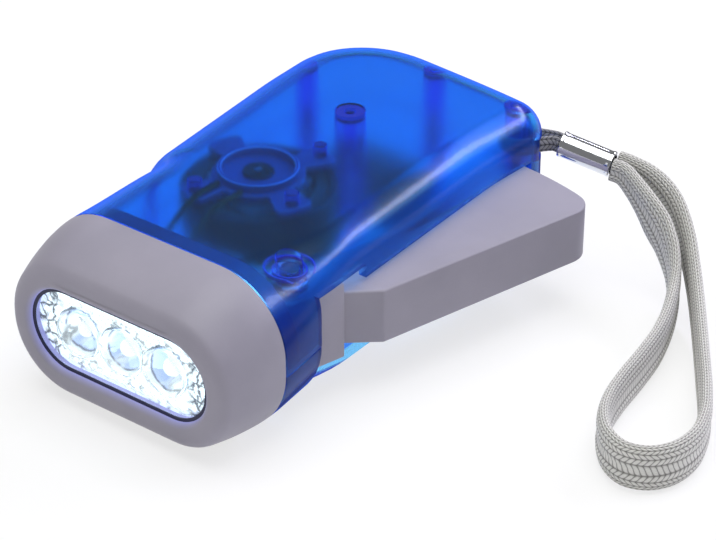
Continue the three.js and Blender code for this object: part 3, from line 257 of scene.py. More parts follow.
def braid_relief(along, column):
    """Height of the braid, 0 to 1, at a place along it in stitches and around it in columns."""
    share = column - math.floor(column)
    slant = 1 - 2 * (math.floor(column) % 2)
    stitch = abs(math.sin(math.pi * (along + slant * (share - 0.5))))
    return min(1, YARN_CROWN * math.sin(math.pi * share)) * (1 - STITCH_DIP + STITCH_DIP * stitch)


def strap_section(width, thickness):
    """Outline of the flattened tube, as (across, through) points."""
    outline = []
    for k in range(STRAP_SIDES):
        turn = 2 * math.pi * k / STRAP_SIDES
        c, s = math.cos(turn), math.sin(turn)
        across = math.copysign(abs(c) ** STRAP_EDGE_POWER, c) * width / 2
        middle = 1 - min(1, abs(across) / (STRAP_WAIST_REACH * width))
        waist = 1 - (1 - STRAP_WAIST_SHARE) * middle ** 2
        outline.append((across, math.copysign(abs(s) ** STRAP_FACE_POWER, s) * thickness / 2 * waist))
    return outline


def strap_material(name, dark, light):
    """Pale grey yarn with painted shade in the crevices of the braid, and uneven soiling along its length.
    """
    material, nodes, links, shader = new_material(
        name, Roughness=0.85, Sheen_Weight=0.25, Sheen_Roughness=0.5, Specular_IOR_Level=0.2
    )
    uv = nodes.new("ShaderNodeUVMap")
    uv.uv_map = "yarn"
    split = fill(links, nodes.new("ShaderNodeSeparateXYZ"), Vector=uv.outputs["UV"])
    column = math_node(nodes, links, "FLOOR", split.outputs["Y"])
    share = math_node(nodes, links, "FRACT", split.outputs["Y"])
    odd = math_node(nodes, links, "FLOORED_MODULO", column, 2)
    slant = math_node(nodes, links, "SUBTRACT", 1, math_node(nodes, links, "MULTIPLY", odd, 2))
    lean = math_node(nodes, links, "MULTIPLY", slant, math_node(nodes, links, "SUBTRACT", share, 0.5))
    stitch = math_node(nodes, links, "ADD", split.outputs["X"], lean)
    waves = []
    for value in (stitch, share):
        turn = math_node(nodes, links, "MULTIPLY", value, math.pi)
        wave = math_node(nodes, links, "ABSOLUTE", math_node(nodes, links, "SINE", turn))
        waves.append(math_node(nodes, links, "POWER", wave, 0.6))
    relief = math_node(nodes, links, "MULTIPLY", waves[0], waves[1])
    # painted shade: darker where the braid's relief is low, in its crevices
    yarn = colour_ramp(nodes, links, relief, (0.1, dark), (0.7, light))
    noise = fill(links, nodes.new("ShaderNodeTexNoise"), Scale=160, Detail=5)
    soil = nodes.new("ShaderNodeMix")
    soil.data_type = "RGBA"
    soil.blend_type = "MULTIPLY"
    fill(links, soil, Factor=0.35, A=yarn, B=noise.outputs["Fac"])
    bump = fill(links, nodes.new("ShaderNodeBump"), Strength=0.5, Distance=0.1 * MM, Height=relief)
    fill(links, shader, Base_Color=soil.outputs["Result"], Normal=bump.outputs["Normal"])
    return material


def map_yarn(piece, uvs, columns):
    """Gives a braid its UV map, from each vertex's place in stitches along it and columns around it."""
    layer = piece.data.uv_layers.new(name="yarn")
    for polygon in piece.data.polygons:
        corners = [piece.data.loops[i].vertex_index for i in polygon.loop_indices]
        wraps = max(uvs[v][1] for v in corners) - min(uvs[v][1] for v in corners) > columns / 2
        for i, v in zip(polygon.loop_indices, corners):
            u, w = uvs[v]
            layer.data[i].uv = (u, w + columns if wraps and w < columns / 2 else w)


def axes_at(route, k):
    """Directions across a braid and through it, at a place on its route."""
    tangent = (route[min(k + 1, len(route) - 1)] - route[max(k - 1, 0)]).normalized()
    through = tangent.cross(UP).normalized()
    return through.cross(tangent).normalized(), through


def add_strap():
    """The strap's mesh along its route, with the braid's relief, and the route in metres."""
    route = centripetal([Vector(p) for p in STRAP_ROUTE], STRAP_STEP)
    length = STRAP_STEP * (len(route) - 1)
    vertices, uvs = [], []
    for k, place in enumerate(route):
        across, through = axes_at(route, k)
        spread = smoothstep(min(k, len(route) - 1 - k) * STRAP_STEP, 0, STRAP_GATHER)
        width = STRAP_END_WIDTH + (STRAP_WIDTH - STRAP_END_WIDTH) * spread
        section = strap_section(width, STRAP_THICKNESS)
        for i, (a, t) in enumerate(section):
            before, after = section[i - 1], section[(i + 1) % STRAP_SIDES]
            out = Vector((after[1] - before[1], before[0] - after[0])).normalized()
            column = i / COLUMN_SIDES
            rise = YARN_HEIGHT * (braid_relief(k * STRAP_STEP / STITCH_PITCH, column) - 1)
            vertices.append(place + across * (a + out.x * rise) + through * (t + out.y * rise))
            uvs.append((k * STRAP_STEP / STITCH_PITCH, column))
    faces = tube_faces(len(route), STRAP_SIDES)
    yarn = strap_material("braid", YARN_CREVICE_SHADE, YARN_LIGHT)
    strap = add_piece("wrist_strap_braid", vertices, faces, yarn, sharp_degrees=80)
    map_yarn(strap, uvs, YARN_COLUMNS)
    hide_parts("wrist_strap")
    return strap, [p * MM for p in route], length * MM


wrist_strap, strap_path, strap_length = add_strap()


# Shells
# Two mouldings of clear blue plastic, 1.6 mm thick, that meet along the side with a fine gap. The lever
# swings in a slot cut from one side of both.
BODY_HEIGHT = 32
SPLIT_HEIGHT = 15
SPLIT_GAP = 0.3
WALL = 1.6
SEAM_Y = -38
SEAM_HALF_WIDTH = 26.5
SEAM_FILLET = 13.8
SEAM_FLOOR_FILLET = 15.5
LEVER_SIDE_FILLET = 6.5
GRIP_SIDE_FILLET = 11.2
RIM_BLEND = 22
REAR_RIGHT_X = 24.2
REAR_MID_Y = 50.3
GRIP_X = -26.7
SLOT_FRONT_Y = -27.4
SLOT_REAR_Y = 37
SLOT_TOP = 24.7
SLOT_STEP_Y = -14  # behind the lever's hub, where the slot's upper edge comes down to the arm
SLOT_ARM_TOP = 22.2
RECESS_TOP = 7.75
RECESS_X = 17.6
BODY_CORNERS = [
    (SEAM_HALF_WIDTH, SEAM_Y, 0),
    (SEAM_HALF_WIDTH, SEAM_Y + WALL, 0),
    (25.1, -22, 60),
    (24.1, 26, 60),
    (25, 37, 30),
    (25.4, 44, 7.2),
    (-8, REAR_MID_Y, 24),
    (-30.6, REAR_MID_Y, 18.5),
    (-29.8, 22, 60),
    (GRIP_X, -12.9, 11),
    (-24.7, -16.8, 3.5),
    (-SEAM_HALF_WIDTH, SEAM_Y + WALL, 0),
    (-SEAM_HALF_WIDTH, SEAM_Y, 0),
]
OUTLINE_STEP = 2.5
FILLET_STEPS = 12
PIVOT = Vector((18.6, -27.5, 0))
HUB_RADIUS = 4.6
HUB_BOTTOM = 8.35
HUB_TOP = 23.65
FIT_GAP = 0.3
FERRULE_PLACE = Vector((26.5, 45, 23.2))
POSTS = [
    (-0.178 * REAR_RIGHT_X, 0.388 * REAR_MID_Y, 2.9),
    (-0.066 * REAR_RIGHT_X, 0.851 * REAR_MID_Y, 2.2),
    (0.777 * REAR_RIGHT_X, 0.803 * REAR_MID_Y, 2.15),
    (-0.95 * REAR_RIGHT_X, 0.596 * REAR_MID_Y, 2.2),
]
POST_BORE = 1.05
POST_FOOT_RADIUS = 3
POST_FOOT_HEIGHT = 4.6
SCREW_PAD_BOTTOM = 0.5  # of the pad that carries the outermost screw, where the underside curves up
SCREW_RECESS_RADIUS = 2
SCREW_RECESS_HEIGHT = 2.8
BORE_TOP = 30.3
POST_ROOT = (28.9, 29.6)  # heights between which a ring of painted shade marks a post's root
SPRING_CUPS = ((3.1, 27.4), (4.5, 27.9))  # radius and bottom of the rings under the top over the spring
SPRING_CUP_WALL = 0.3
SPRING_CUP_HEIGHT = 0.7
ROTOR = Vector((-5.6, -6, 0))
PEG_RADIUS = 1.3  # of the four pegs that carry the generator's bridge
PEG_BOTTOM = 28.1
PEG_REACH = 12.77
LOBE_TURNS = [math.radians(-23 + 90 * k) for k in range(4)]
PEG_PLACES = [(ROTOR.x + PEG_REACH * math.cos(t), ROTOR.y + PEG_REACH * math.sin(t)) for t in LOBE_TURNS]
WAY_OUT = (14, 6.8, 4.4)  # length, width and height of the strap's way out at the rear corner
WAY_OUT_RISE = 0.2  # of its middle, over the ferrule's
HOLLOW_PAST_SEAM = 2  # so that the body is open at its lamp end
POST_SKIN = WALL / 2  # how deep under the body's outside the posts end
RING_SKIN = WALL * 0.6  # the same for the rings under the top
RING_MARGIN = 0.1  # by which a post's root lies inside the post
BOSS_RADIUS = 2.4  # of the two bosses round the lever's pin
PIN_SEAT_RADIUS = 1.6
PIN_SEAT_TOP = 27.95
SCREW_BORE = 1.2
POST_REACH = 0.1  # past its radius, within which a face still belongs to a post
POST_RISE = 0.5  # of the normal, under which such a face is part of the post's upright wall
SHELL_SHARP_DEGREES = 25
SHADING_BY_AREA = 80  # weight of the larger faces in the even shading
RIM_TINT = (0.016, 0.13, 0.9, 1)
# dark blue of the painted shade on the wall beside the lever
WALL_SHADE_TINT = (0.008, 0.025, 0.22, 1)
SHADOW_TINT = (0.88, 0.94, 1, 1)
SHADED_WALL_X = (22.6, 24.4)  # x between which painted shade darkens the lever side's wall
GRAZING_BLEND = 0.35  # of the Layer Weight node that tells a grazing view
EDGE_ON = (0.42, 0.68)  # share of grazing view between which the rim's own blue covers
EDGE_COVER = 0.9  # share of that blue where the shell is seen edge on
WALL_SHADE_COVER = 0.5  # and, as painted shade, in the wall beside the lever
GRAIN_SCALE = 2600
GRAIN_RELIEF = 0.02
GLOSS_UNEVENNESS = 0.2


def rounded(corners, arc_degrees=5):
    """Closed outline through (x, y, radius) corners given anticlockwise, with arcs at the corners."""
    points = []
    for k, (x, y, radius) in enumerate(corners):
        corner = Vector((x, y))
        before = (corner - Vector(corners[k - 1][:2])).normalized()
        after = (Vector(corners[(k + 1) % len(corners)][:2]) - corner).normalized()
        turn = math.atan2(before.x * after.y - before.y * after.x, before.dot(after))
        if not radius or abs(turn) < 1e-4:
            points.append(corner)
            continue
        side = math.copysign(1, turn)
        reach = radius * math.tan(abs(turn) / 2)
        centre = corner - before * reach + Vector((-before.y, before.x)) * radius * side
        start = math.atan2(-before.x * side, before.y * side)
        steps = max(2, round(math.degrees(abs(turn)) / arc_degrees))
        for s in range(steps + 1):
            angle = start + turn * s / steps
            points.append(centre + Vector((math.cos(angle), math.sin(angle))) * radius)
    return points


def subdivided(points, step):
    """The outline with long runs divided, but for the run that closes it."""
    finer = []
    for p, q in zip(points, points[1:]):
        parts = max(1, round((q - p).length / step))
        finer += [p.lerp(q, k / parts) for k in range(parts)]
    return finer + [points[-1]]


def rim_fillet(x, y, is_top):
    """Radius of the body's rim: full at the lamp end, then fuller on the grip's side than the lever's."""
    side = smoothstep(-x, -REAR_RIGHT_X, -GRIP_X)
    rear = LEVER_SIDE_FILLET + (GRIP_SIDE_FILLET - LEVER_SIDE_FILLET) * side
    front = SEAM_FILLET if is_top else SEAM_FLOOR_FILLET
    start = SEAM_Y if is_top else SLOT_FRONT_Y
    return front + (rear - front) * smoothstep(y, start, start + RIM_BLEND)


body_outline = subdivided(rounded(BODY_CORNERS), OUTLINE_STEP)


def body_solid(name, inset, past_seam=0):
    """The body as one closed solid taken in by inset, as a mesh object for cutting and joining."""
    count = len(body_outline)
    rings = []
    turns = [math.pi / 2 * k / FILLET_STEPS for k in range(FILLET_STEPS + 1)]
    for is_top, series in ((False, turns), (True, turns[::-1])):
        for turn in series:
            for k, p in enumerate(body_outline):
                before = (p - body_outline[k - 1]).normalized()
                after = (body_outline[(k + 1) % count] - p).normalized()
                middle = (before + after).normalized()
                inward = Vector((-middle.y, middle.x)) / middle.dot(before)
                if k in (0, count - 1):
                    inward = Vector((-math.copysign(1, p.x), 0))
                radius = rim_fillet(p.x, p.y, is_top) - inset
                place = p + inward * (inset + radius * (1 - math.sin(turn)))
                if k in (0, count - 1):
                    place.y -= past_seam
                rise = inset + radius * (1 - math.cos(turn))
                rings.append((place.x, place.y, BODY_HEIGHT - rise if is_top else rise))
    return tool(name, rings, tube_faces(2 * len(turns), count))


def tool(name, vertices, faces):
    """A bare mesh object, in millimetres, that cuts or joins."""
    mesh = bpy.data.meshes.new(name)
    mesh.from_pydata([Vector(v) * MM for v in vertices], [], faces)
    thing = bpy.data.objects.new(name, mesh)
    scene.collection.objects.link(thing)
    return thing


def box_tool(low, high):
    corners = [(x, y, z) for x in (low[0], high[0]) for y in (low[1], high[1]) for z in (low[2], high[2])]
    faces = [(0, 1, 3, 2), (4, 6, 7, 5), (0, 4, 5, 1), (2, 3, 7, 6), (0, 2, 6, 4), (1, 5, 7, 3)]
    return tool("box", corners, faces)


def disc_tool(x, y, radius, low, high, sides=48):
    ring = [(x + radius * math.cos(2 * math.pi * k / sides), y + radius * math.sin(2 * math.pi * k / sides))
            for k in range(sides)]
    return tool("disc", [(a, b, z) for z in (low, high) for a, b in ring], tube_faces(2, sides))


def combine(base, operation, *tools):
    """Cuts the tools from base, joins them to it or keeps what they share, and removes them."""
    for thing in tools:
        modifier = base.modifiers.new("cut", "BOOLEAN")
        modifier.operation = operation
        modifier.solver = "EXACT"
        modifier.object = thing
        bpy.context.view_layer.update()
        result = bpy.data.meshes.new_from_object(base.evaluated_get(bpy.context.evaluated_depsgraph_get()))
        base.modifiers.clear()
        base.data = result
        bpy.data.objects.remove(thing)
    return base


def effect_group(name, inputs, outputs):
    """A node group: itself, its nodes and links, what it is given, its result node and the place."""
    group = bpy.data.node_groups.new(name, "ShaderNodeTree")
    for way, sockets in (("INPUT", inputs), ("OUTPUT", outputs)):
        for socket in sockets:
            group.interface.new_socket(socket, in_out=way, socket_type="NodeSocketFloat")
    nodes = group.nodes
    given = nodes.new("NodeGroupInput").outputs
    result = nodes.new("NodeGroupOutput")
    return group, nodes, group.links, given, result, nodes.new("ShaderNodeTexCoord").outputs["Object"]


def gloss_group():
    """Node group for uneven polish: a roughness between two values, in soft patches."""
    group, nodes, links, given, result, place = effect_group(
        "uneven_gloss", ("Patch Scale", "Lowest", "Highest"), ("Roughness",)
    )
    noise = nodes.new("ShaderNodeTexNoise")
    fill(links, noise, Detail=4, Vector=place, Scale=given["Patch Scale"])
    spread = map_range(nodes, links, noise.outputs["Fac"], 0.3, 0.7, given["Lowest"], given["Highest"])
    fill(links, result, Roughness=spread)
    return group


uneven_gloss = gloss_group()


def polish(nodes, links, shader, patch_scale, lowest, highest):
    """Gives a shader the uneven polish."""
    gloss = nodes.new("ShaderNodeGroup")
    gloss.node_tree = uneven_gloss
    fill(links, gloss, Patch_Scale=patch_scale, Lowest=lowest, Highest=highest)
    fill(links, shader, Roughness=gloss.outputs["Roughness"])


def mixed(nodes, links, share, first, second):
    """A Mix Shader node between two surfaces, and its output."""
    mix = nodes.new("ShaderNodeMixShader")
    for k, source in enumerate((share, first, second)):
        links.new(source, mix.inputs[k])
    return mix.outputs[0]


def let_light_in(nodes, links, surface, shadow_tint):
    """Shadow rays pass the piece straight, so that what is behind it is lit."""
    path = nodes.new("ShaderNodeLightPath")
    straight = fill(links, nodes.new("ShaderNodeBsdfTransparent"), Color=shadow_tint)
    surface = mixed(nodes, links, path.outputs["Is Shadow Ray"], surface, straight.outputs[0])
    fill(links, nodes["Material Output"], Surface=surface)


def shell_material(name, ior, tint, edge_tint):
    """Tinted clear plastic, a little hazy, denser where it is seen edge on, with painted shade on the wall
    by the lever.
    """
    material, nodes, links, shader = new_material(
        name, IOR=ior, Transmission_Weight=1.0, Coat_Weight=0.15, Coat_Roughness=0.07, Coat_IOR=1.5
    )
    facing = fill(links, nodes.new("ShaderNodeLayerWeight"), Blend=GRAZING_BLEND).outputs["Facing"]
    fill(links, shader, Base_Color=colour_ramp(nodes, links, facing, (0.4, tint), (0.95, edge_tint)))
    polish(nodes, links, shader, 45, 0.2, 0.26)
    place = nodes.new("ShaderNodeTexCoord").outputs["Object"]
    split = fill(links, nodes.new("ShaderNodeSeparateXYZ"), Vector=place)
    # painted shade on the lever side's wall: a dark blue diffuse mixed over the plastic by x
    beside = map_range(nodes, links, split.outputs["X"], *[x * MM for x in SHADED_WALL_X])
    edge_blue_and_wall_shade = colour_ramp(nodes, links, beside, (0, RIM_TINT), (1, WALL_SHADE_TINT))
    rim = fill(links, nodes.new("ShaderNodeBsdfDiffuse"), Color=edge_blue_and_wall_shade)
    edge_on = map_range(nodes, links, facing, *EDGE_ON, 0, EDGE_COVER)
    wall_shade = math_node(nodes, links, "MULTIPLY", beside, WALL_SHADE_COVER)
    share = math_node(nodes, links, "MAXIMUM", edge_on, wall_shade)
    let_light_in(nodes, links, mixed(nodes, links, share, shader.outputs[0], rim.outputs[0]), SHADOW_TINT)
    return material


def grain_group():
    """Node group for moulded plastic: fine spark grain and uneven gloss, as bump height and roughness."""
    group, nodes, links, given, result, place = effect_group(
        "moulded_grain", ("Grain Size", "Roughness", "Unevenness"), ("Height", "Roughness", "Mottle")
    )
    fine, broad = nodes.new("ShaderNodeTexNoise"), nodes.new("ShaderNodeTexNoise")
    fill(links, fine, Detail=3, Vector=place, Scale=given["Grain Size"])
    fill(links, broad, Detail=6, Vector=place, Scale=70)
    offset = math_node(nodes, links, "SUBTRACT", broad.outputs["Fac"], 0.5)
    change = math_node(nodes, links, "MULTIPLY", offset, given["Unevenness"])
    roughness = math_node(nodes, links, "ADD", given["Roughness"], change)
    fill(links, result, Height=fine.outputs["Fac"], Roughness=roughness, Mottle=broad.outputs["Fac"])
    return group


moulded_grain = grain_group()


def moulded_plastic(name, dark, light, roughness):
    """Opaque moulded plastic between two close shades, with the moulded grain."""
    material, nodes, links, shader = new_material(name, IOR=1.5)
    grain = nodes.new("ShaderNodeGroup")
    grain.node_tree = moulded_grain
    fill(links, grain, Grain_Size=GRAIN_SCALE, Roughness=roughness, Unevenness=GLOSS_UNEVENNESS)
    shade = colour_ramp(nodes, links, grain.outputs["Mottle"], (0.3, dark), (0.7, light))
    bump = nodes.new("ShaderNodeBump")
    fill(links, bump, Strength=0.35, Distance=GRAIN_RELIEF * MM, Height=grain.outputs["Height"])
    fill(links, shader, Base_Color=shade, Normal=bump.outputs["Normal"])
    fill(links, shader, Roughness=grain.outputs["Roughness"])
    return material


# dark purple: painted shade for the posts' roots
root_shade_plastic = moulded_plastic("post_root_shade", linear(58, 30, 128), linear(74, 40, 146), 0.5)
cup_plastic = moulded_plastic("blue_cup", linear(42, 56, 160), linear(52, 68, 176), 0.5)
shell_plastic = shell_material("clear_blue_plastic", 1.32, (0.035, 0.4, 1, 1), (0.015, 0.08, 0.55, 1))
post_plastic = shell_material("post_blue_plastic", 1.06, (0.3, 0.42, 0.95, 1), (0.12, 0.2, 0.7, 1))


def post_columns(low, high, extra):
    """The screw posts of one shell and its extra columns, cut to lie within its skin."""
    columns = [disc_tool(x, y, radius, low, high) for x, y, radius in POSTS] + extra
    return [combine(column, "INTERSECT", body_solid("skin", POST_SKIN)) for column in columns]


def calm_posts(shell):
    """Gives the upright walls of the posts and pegs their own plastic, which bends light little."""
    shell.data.materials.append(post_plastic)
    axes = POSTS + [(PIVOT.x, PIVOT.y, BOSS_RADIUS)] + [(x, y, PEG_RADIUS) for x, y in PEG_PLACES]
    for polygon in shell.data.polygons:
        middle = polygon.center / MM
        near = any(math.hypot(middle.x - x, middle.y - y) < radius + POST_REACH for x, y, radius in axes)
        polygon.material_index = near and abs(polygon.normal.z) < POST_RISE


def inner_ring(name, x, y, outer, inner, low, high, material):
    """A flat ring inside the body, cut to the hollow under the top."""
    hole = disc_tool(x, y, inner, 0, BODY_HEIGHT)
    ring = combine(disc_tool(x, y, outer, low, high), "DIFFERENCE", hole)
    combine(ring, "INTERSECT", body_solid("skin", RING_SKIN))
    ring.name = ring.data.name = name
    finish_piece(ring, material, "root")


def half_shell(name, low, high, far):
    """The hollow body between two heights."""
    shell = combine(body_solid(name, 0), "DIFFERENCE", body_solid("hollow", WALL, HOLLOW_PAST_SEAM))
    return combine(shell, "INTERSECT", box_tool((-far, -far, low), (far, far, high)))


def finish_shell(shell):
    """Gives a shell its plastic and even shading."""
    finish_piece(shell, shell_plastic, "root", SHELL_SHARP_DEGREES)
    calm_posts(shell)
    weighted = shell.modifiers.new("even_shading", "WEIGHTED_NORMAL")
    weighted.keep_sharp = True
    weighted.weight = SHADING_BY_AREA


def add_shells():
    far = 3 * BODY_HEIGHT
    upper_start, lower_end = SPLIT_HEIGHT + SPLIT_GAP / 2, SPLIT_HEIGHT - SPLIT_GAP / 2
    hub_bottom, hub_top = HUB_BOTTOM - FIT_GAP, HUB_TOP + FIT_GAP
    hub_space = (PIVOT.x, PIVOT.y, HUB_RADIUS + FIT_GAP, hub_bottom, hub_top)
    hub_slot = (RECESS_X, SLOT_FRONT_Y, -WALL), (far, SLOT_STEP_Y, SLOT_TOP)
    arm_slot = (RECESS_X, SLOT_STEP_Y - FIT_GAP, -WALL), (far, SLOT_REAR_Y, SLOT_ARM_TOP)

    upper = half_shell("upper_shell_clear", upper_start, far, far)
    length, width, height = WAY_OUT
    way_out = box_tool((0, -width / 2, -height / 2), (length, width / 2, height / 2))
    post_x, post_y, _ = POSTS[2]
    turn = math.atan2(FERRULE_PLACE.y - post_y, FERRULE_PLACE.x - post_x)
    place = Vector((post_x, post_y, FERRULE_PLACE.z + WAY_OUT_RISE)) * MM
    way_out.data.transform(Matrix.Translation(place) @ Matrix.Rotation(turn, 4, "Z"))
    combine(upper, "DIFFERENCE", box_tool(*hub_slot), box_tool(*arm_slot), disc_tool(*hub_space), way_out)
    boss = disc_tool(PIVOT.x, PIVOT.y, BOSS_RADIUS, hub_top, BODY_HEIGHT)
    pegs = [disc_tool(x, y, PEG_RADIUS, PEG_BOTTOM, BODY_HEIGHT, 32) for x, y in PEG_PLACES]
    combine(upper, "UNION", *post_columns(upper_start, BODY_HEIGHT, [boss, *pegs]))
    bores = [disc_tool(x, y, POST_BORE, SPLIT_HEIGHT - WALL, BORE_TOP, 24) for x, y, _ in POSTS]
    pin_seat = disc_tool(PIVOT.x, PIVOT.y, PIN_SEAT_RADIUS, HUB_TOP - WALL, PIN_SEAT_TOP, 24)
    combine(upper, "DIFFERENCE", *bores, pin_seat)
    finish_shell(upper)
    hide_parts("upper_shell")

    lower = half_shell("lower_shell_clear", -far, lower_end, far)
    walls = box_tool((RECESS_X - WALL, SLOT_FRONT_Y - WALL, -WALL), (far, SLOT_REAR_Y + WALL, RECESS_TOP))
    combine(walls, "INTERSECT", body_solid("skin", 0))
    combine(lower, "UNION", walls)
    combine(lower, "DIFFERENCE", box_tool(*hub_slot), box_tool(*arm_slot), disc_tool(*hub_space))
    feet = [disc_tool(x, y, POST_FOOT_RADIUS, 0, POST_FOOT_HEIGHT) for x, y, _ in POSTS]
    boss = disc_tool(PIVOT.x, PIVOT.y, BOSS_RADIUS, 0, hub_bottom)
    pad = disc_tool(*POSTS[3][:2], POST_FOOT_RADIUS, SCREW_PAD_BOTTOM, POST_FOOT_HEIGHT)
    combine(lower, "UNION", *post_columns(0, lower_end, [*feet, boss]), pad)
    bores = [disc_tool(x, y, SCREW_BORE, -WALL, SPLIT_HEIGHT + WALL, 24) for x, y, _ in POSTS]
    recesses = [disc_tool(x, y, SCREW_RECESS_RADIUS, -WALL, SCREW_RECESS_HEIGHT, 32) for x, y, _ in POSTS]
    combine(lower, "DIFFERENCE", *bores, *recesses)
    finish_shell(lower)
    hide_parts("lower_shell")


add_shells()
# a ring of painted shade at each post's root, under the top
for k, (x, y, radius) in enumerate(POSTS):
    outer, inner = radius - RING_MARGIN, POST_BORE - RING_MARGIN
    inner_ring(f"post_root_{k + 1}", x, y, outer, inner, *POST_ROOT, root_shade_plastic)
for k, (radius, bottom) in enumerate(SPRING_CUPS):
    inner_ring(
        f"spring_cup_{k + 1}", PIVOT.x, PIVOT.y, radius, radius - SPRING_CUP_WALL,
        bottom, bottom + SPRING_CUP_HEIGHT, cup_plastic,
    )


# Bezel
# The lamp's nose, moulded in satin warm grey plastic. It narrows from the seam to a flat rim with soft
# edges, and a long round-ended window goes through it. A sleeve behind it carries the shells; its dark
# colour is painted shade.
BEZEL_DEPTH = 14
BEZEL_STEPS = 16
LIP_HALF_WIDTH = 24.2
LIP_BOTTOM = 2.8
LIP_TOP = 27.2
LIP_EDGE = 1.9
LIP_EDGE_STEPS = 7
LIP_LAND = 0.4  # between the window's rounded edge and where the lip ends
BULGE_POWER = 1.7
WINDOW_HALF_LENGTH = 20
WINDOW_RADIUS = 8.25
WINDOW_HEIGHT = 15.6
WINDOW_EDGE = 1.1
WINDOW_EDGE_STEPS = 8
SLEEVE_INSET = 1.9  # of the sleeve that the shells close on, dark with painted shade
SLEEVE_REACH = 4.6
SLEEVE_WALL = 1
POCKET_RIM = 1.6
POCKET_FRONT = 7.2  # behind the lip, where the window widens to the lamp's pocket
POCKET_BACK = 4.2  # ahead of the seam, where the pocket opens into the hollow nose
NOSE_WALL = 3
ROUND_END = 0.999  # of the half width, so that a short straight is left between the corners
CORNER_ARC = 5
LIP_Y = SEAM_Y - BEZEL_DEPTH


grey_plastic = moulded_plastic("warm_grey_plastic", linear(145, 142, 155), linear(155, 151, 164), 0.5)


def section_ring(y, half_width, bottom, top, low_radius, high_radius):
    """One ring of the bezel: a rounded rectangle in the plane at y."""
    corners = [
        (-half_width, bottom, low_radius),
        (half_width, bottom, low_radius),
        (half_width, top, high_radius),
        (-half_width, top, high_radius),
    ]
    return [(p.x, y, p.y) for p in rounded(corners, CORNER_ARC)]


def bezel_ring(depth, inset):
    """Ring of the outer skin at a depth from the seam."""
    bulge = (depth / BEZEL_DEPTH) ** BULGE_POWER
    lip_radius = (LIP_TOP - LIP_BOTTOM) / 2 - FIT_GAP

    def mix(seam, lip):
        return seam + (lip - seam) * bulge

    return section_ring(
        SEAM_Y - depth,
        mix(SEAM_HALF_WIDTH, LIP_HALF_WIDTH) - inset,
        mix(0, LIP_BOTTOM) + inset,
        mix(BODY_HEIGHT, LIP_TOP) - inset,
        mix(SEAM_FLOOR_FILLET, lip_radius) - inset,
        mix(SEAM_FILLET, lip_radius) - inset,
    )


def window_ring(y, grow):
    """Ring of the window at y, its outline grown all round."""
    radius = WINDOW_RADIUS + grow
    bottom, top = WINDOW_HEIGHT - radius, WINDOW_HEIGHT + radius
    return section_ring(y, WINDOW_HALF_LENGTH + grow, bottom, top, radius * ROUND_END, radius * ROUND_END)


def sleeve_ring(y, inset):
    """Ring of the sleeve inside the shells, y behind the seam."""
    low_radius, high_radius = SEAM_FLOOR_FILLET - inset, SEAM_FILLET - inset
    top = BODY_HEIGHT - inset
    return section_ring(SEAM_Y + y, SEAM_HALF_WIDTH - inset, inset, top, low_radius, high_radius)


def closed_piece(name, rings, material, sharp_degrees=35):
    """A piece whose skin runs through rings of points and back to the first."""
    vertices = [p for ring in rings for p in ring]
    faces = tube_faces(len(rings), len(rings[0]), closed=True)
    return add_piece(name, vertices, faces, material, sharp_degrees=sharp_degrees)


def lit_lip():
    """The grey plastic on the window's wall, with the lamp's light on it painted as a glow."""
    material = grey_plastic.copy()
    material.name = "lit_window_wall"
    nodes, links = material.node_tree.nodes, material.node_tree.links
    place = nodes.new("ShaderNodeTexCoord").outputs["Object"]
    split = fill(links, nodes.new("ShaderNodeSeparateXYZ"), Vector=place)
    depth = map_range(nodes, links, split.outputs["Y"], LIP_Y * MM, (LIP_Y + WINDOW_EDGE) * MM)
    glow = colour_ramp(
        nodes, links, depth, (0, (0, 0, 0, 1)), (0.5, (0.1, 0.11, 0.3, 1)), (1, (0.2, 0.22, 0.6, 1))
    )
    # painted light: a glow that grows towards the lens
    fill(links, nodes["Principled BSDF"], Emission_Color=glow, Emission_Strength=0.8)
    return material


# dark colour of the sleeve: painted shade behind the seam
sleeve_shade_plastic = moulded_plastic("sleeve_shade", linear(70, 58, 92), linear(84, 70, 106), 0.45)


def add_bezel():
    straight = BEZEL_DEPTH - LIP_EDGE
    rings = [bezel_ring(FIT_GAP, 0)]
    for k in range(1, BEZEL_STEPS + 1):
        rings.append(bezel_ring(FIT_GAP + (straight - FIT_GAP) * k / BEZEL_STEPS, 0))
    for k in range(1, LIP_EDGE_STEPS + 1):
        turn = math.pi / 2 * k / LIP_EDGE_STEPS
        rings.append(bezel_ring(straight + LIP_EDGE * math.sin(turn), LIP_EDGE * (1 - math.cos(turn))))
    wall_start = len(rings) + 1
    rings.append(window_ring(LIP_Y, WINDOW_EDGE + LIP_LAND))
    for k in range(WINDOW_EDGE_STEPS + 1):
        turn = math.pi / 2 * k / WINDOW_EDGE_STEPS
        depth, grow = WINDOW_EDGE * (1 - math.cos(turn)), WINDOW_EDGE * (1 - math.sin(turn))
        rings.append(window_ring(LIP_Y + depth, grow))
    wall_end = len(rings)
    rings.append(window_ring(LIP_Y + POCKET_FRONT, 0))
    rings.append(window_ring(LIP_Y + POCKET_FRONT, POCKET_RIM))
    rings.append(window_ring(SEAM_Y - POCKET_BACK, POCKET_RIM))
    rings.append(bezel_ring(POCKET_BACK, NOSE_WALL))
    rings.append(bezel_ring(FIT_GAP, NOSE_WALL))
    bezel = closed_piece("bezel_moulding", rings, grey_plastic, 40)
    bezel.data.materials.append(lit_lip())
    sides = len(rings[0])
    for k in range(wall_start * sides, wall_end * sides):
        bezel.data.polygons[k].material_index = 1
    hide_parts("bezel")

    outer, inner = SLEEVE_INSET, SLEEVE_INSET + SLEEVE_WALL
    corners = ((-FIT_GAP, outer), (SLEEVE_REACH, outer), (SLEEVE_REACH, inner), (-FIT_GAP, inner))
    rings = [sleeve_ring(*corner) for corner in corners]
    closed_piece("bezel_sleeve", rings, sleeve_shade_plastic)


add_bezel()


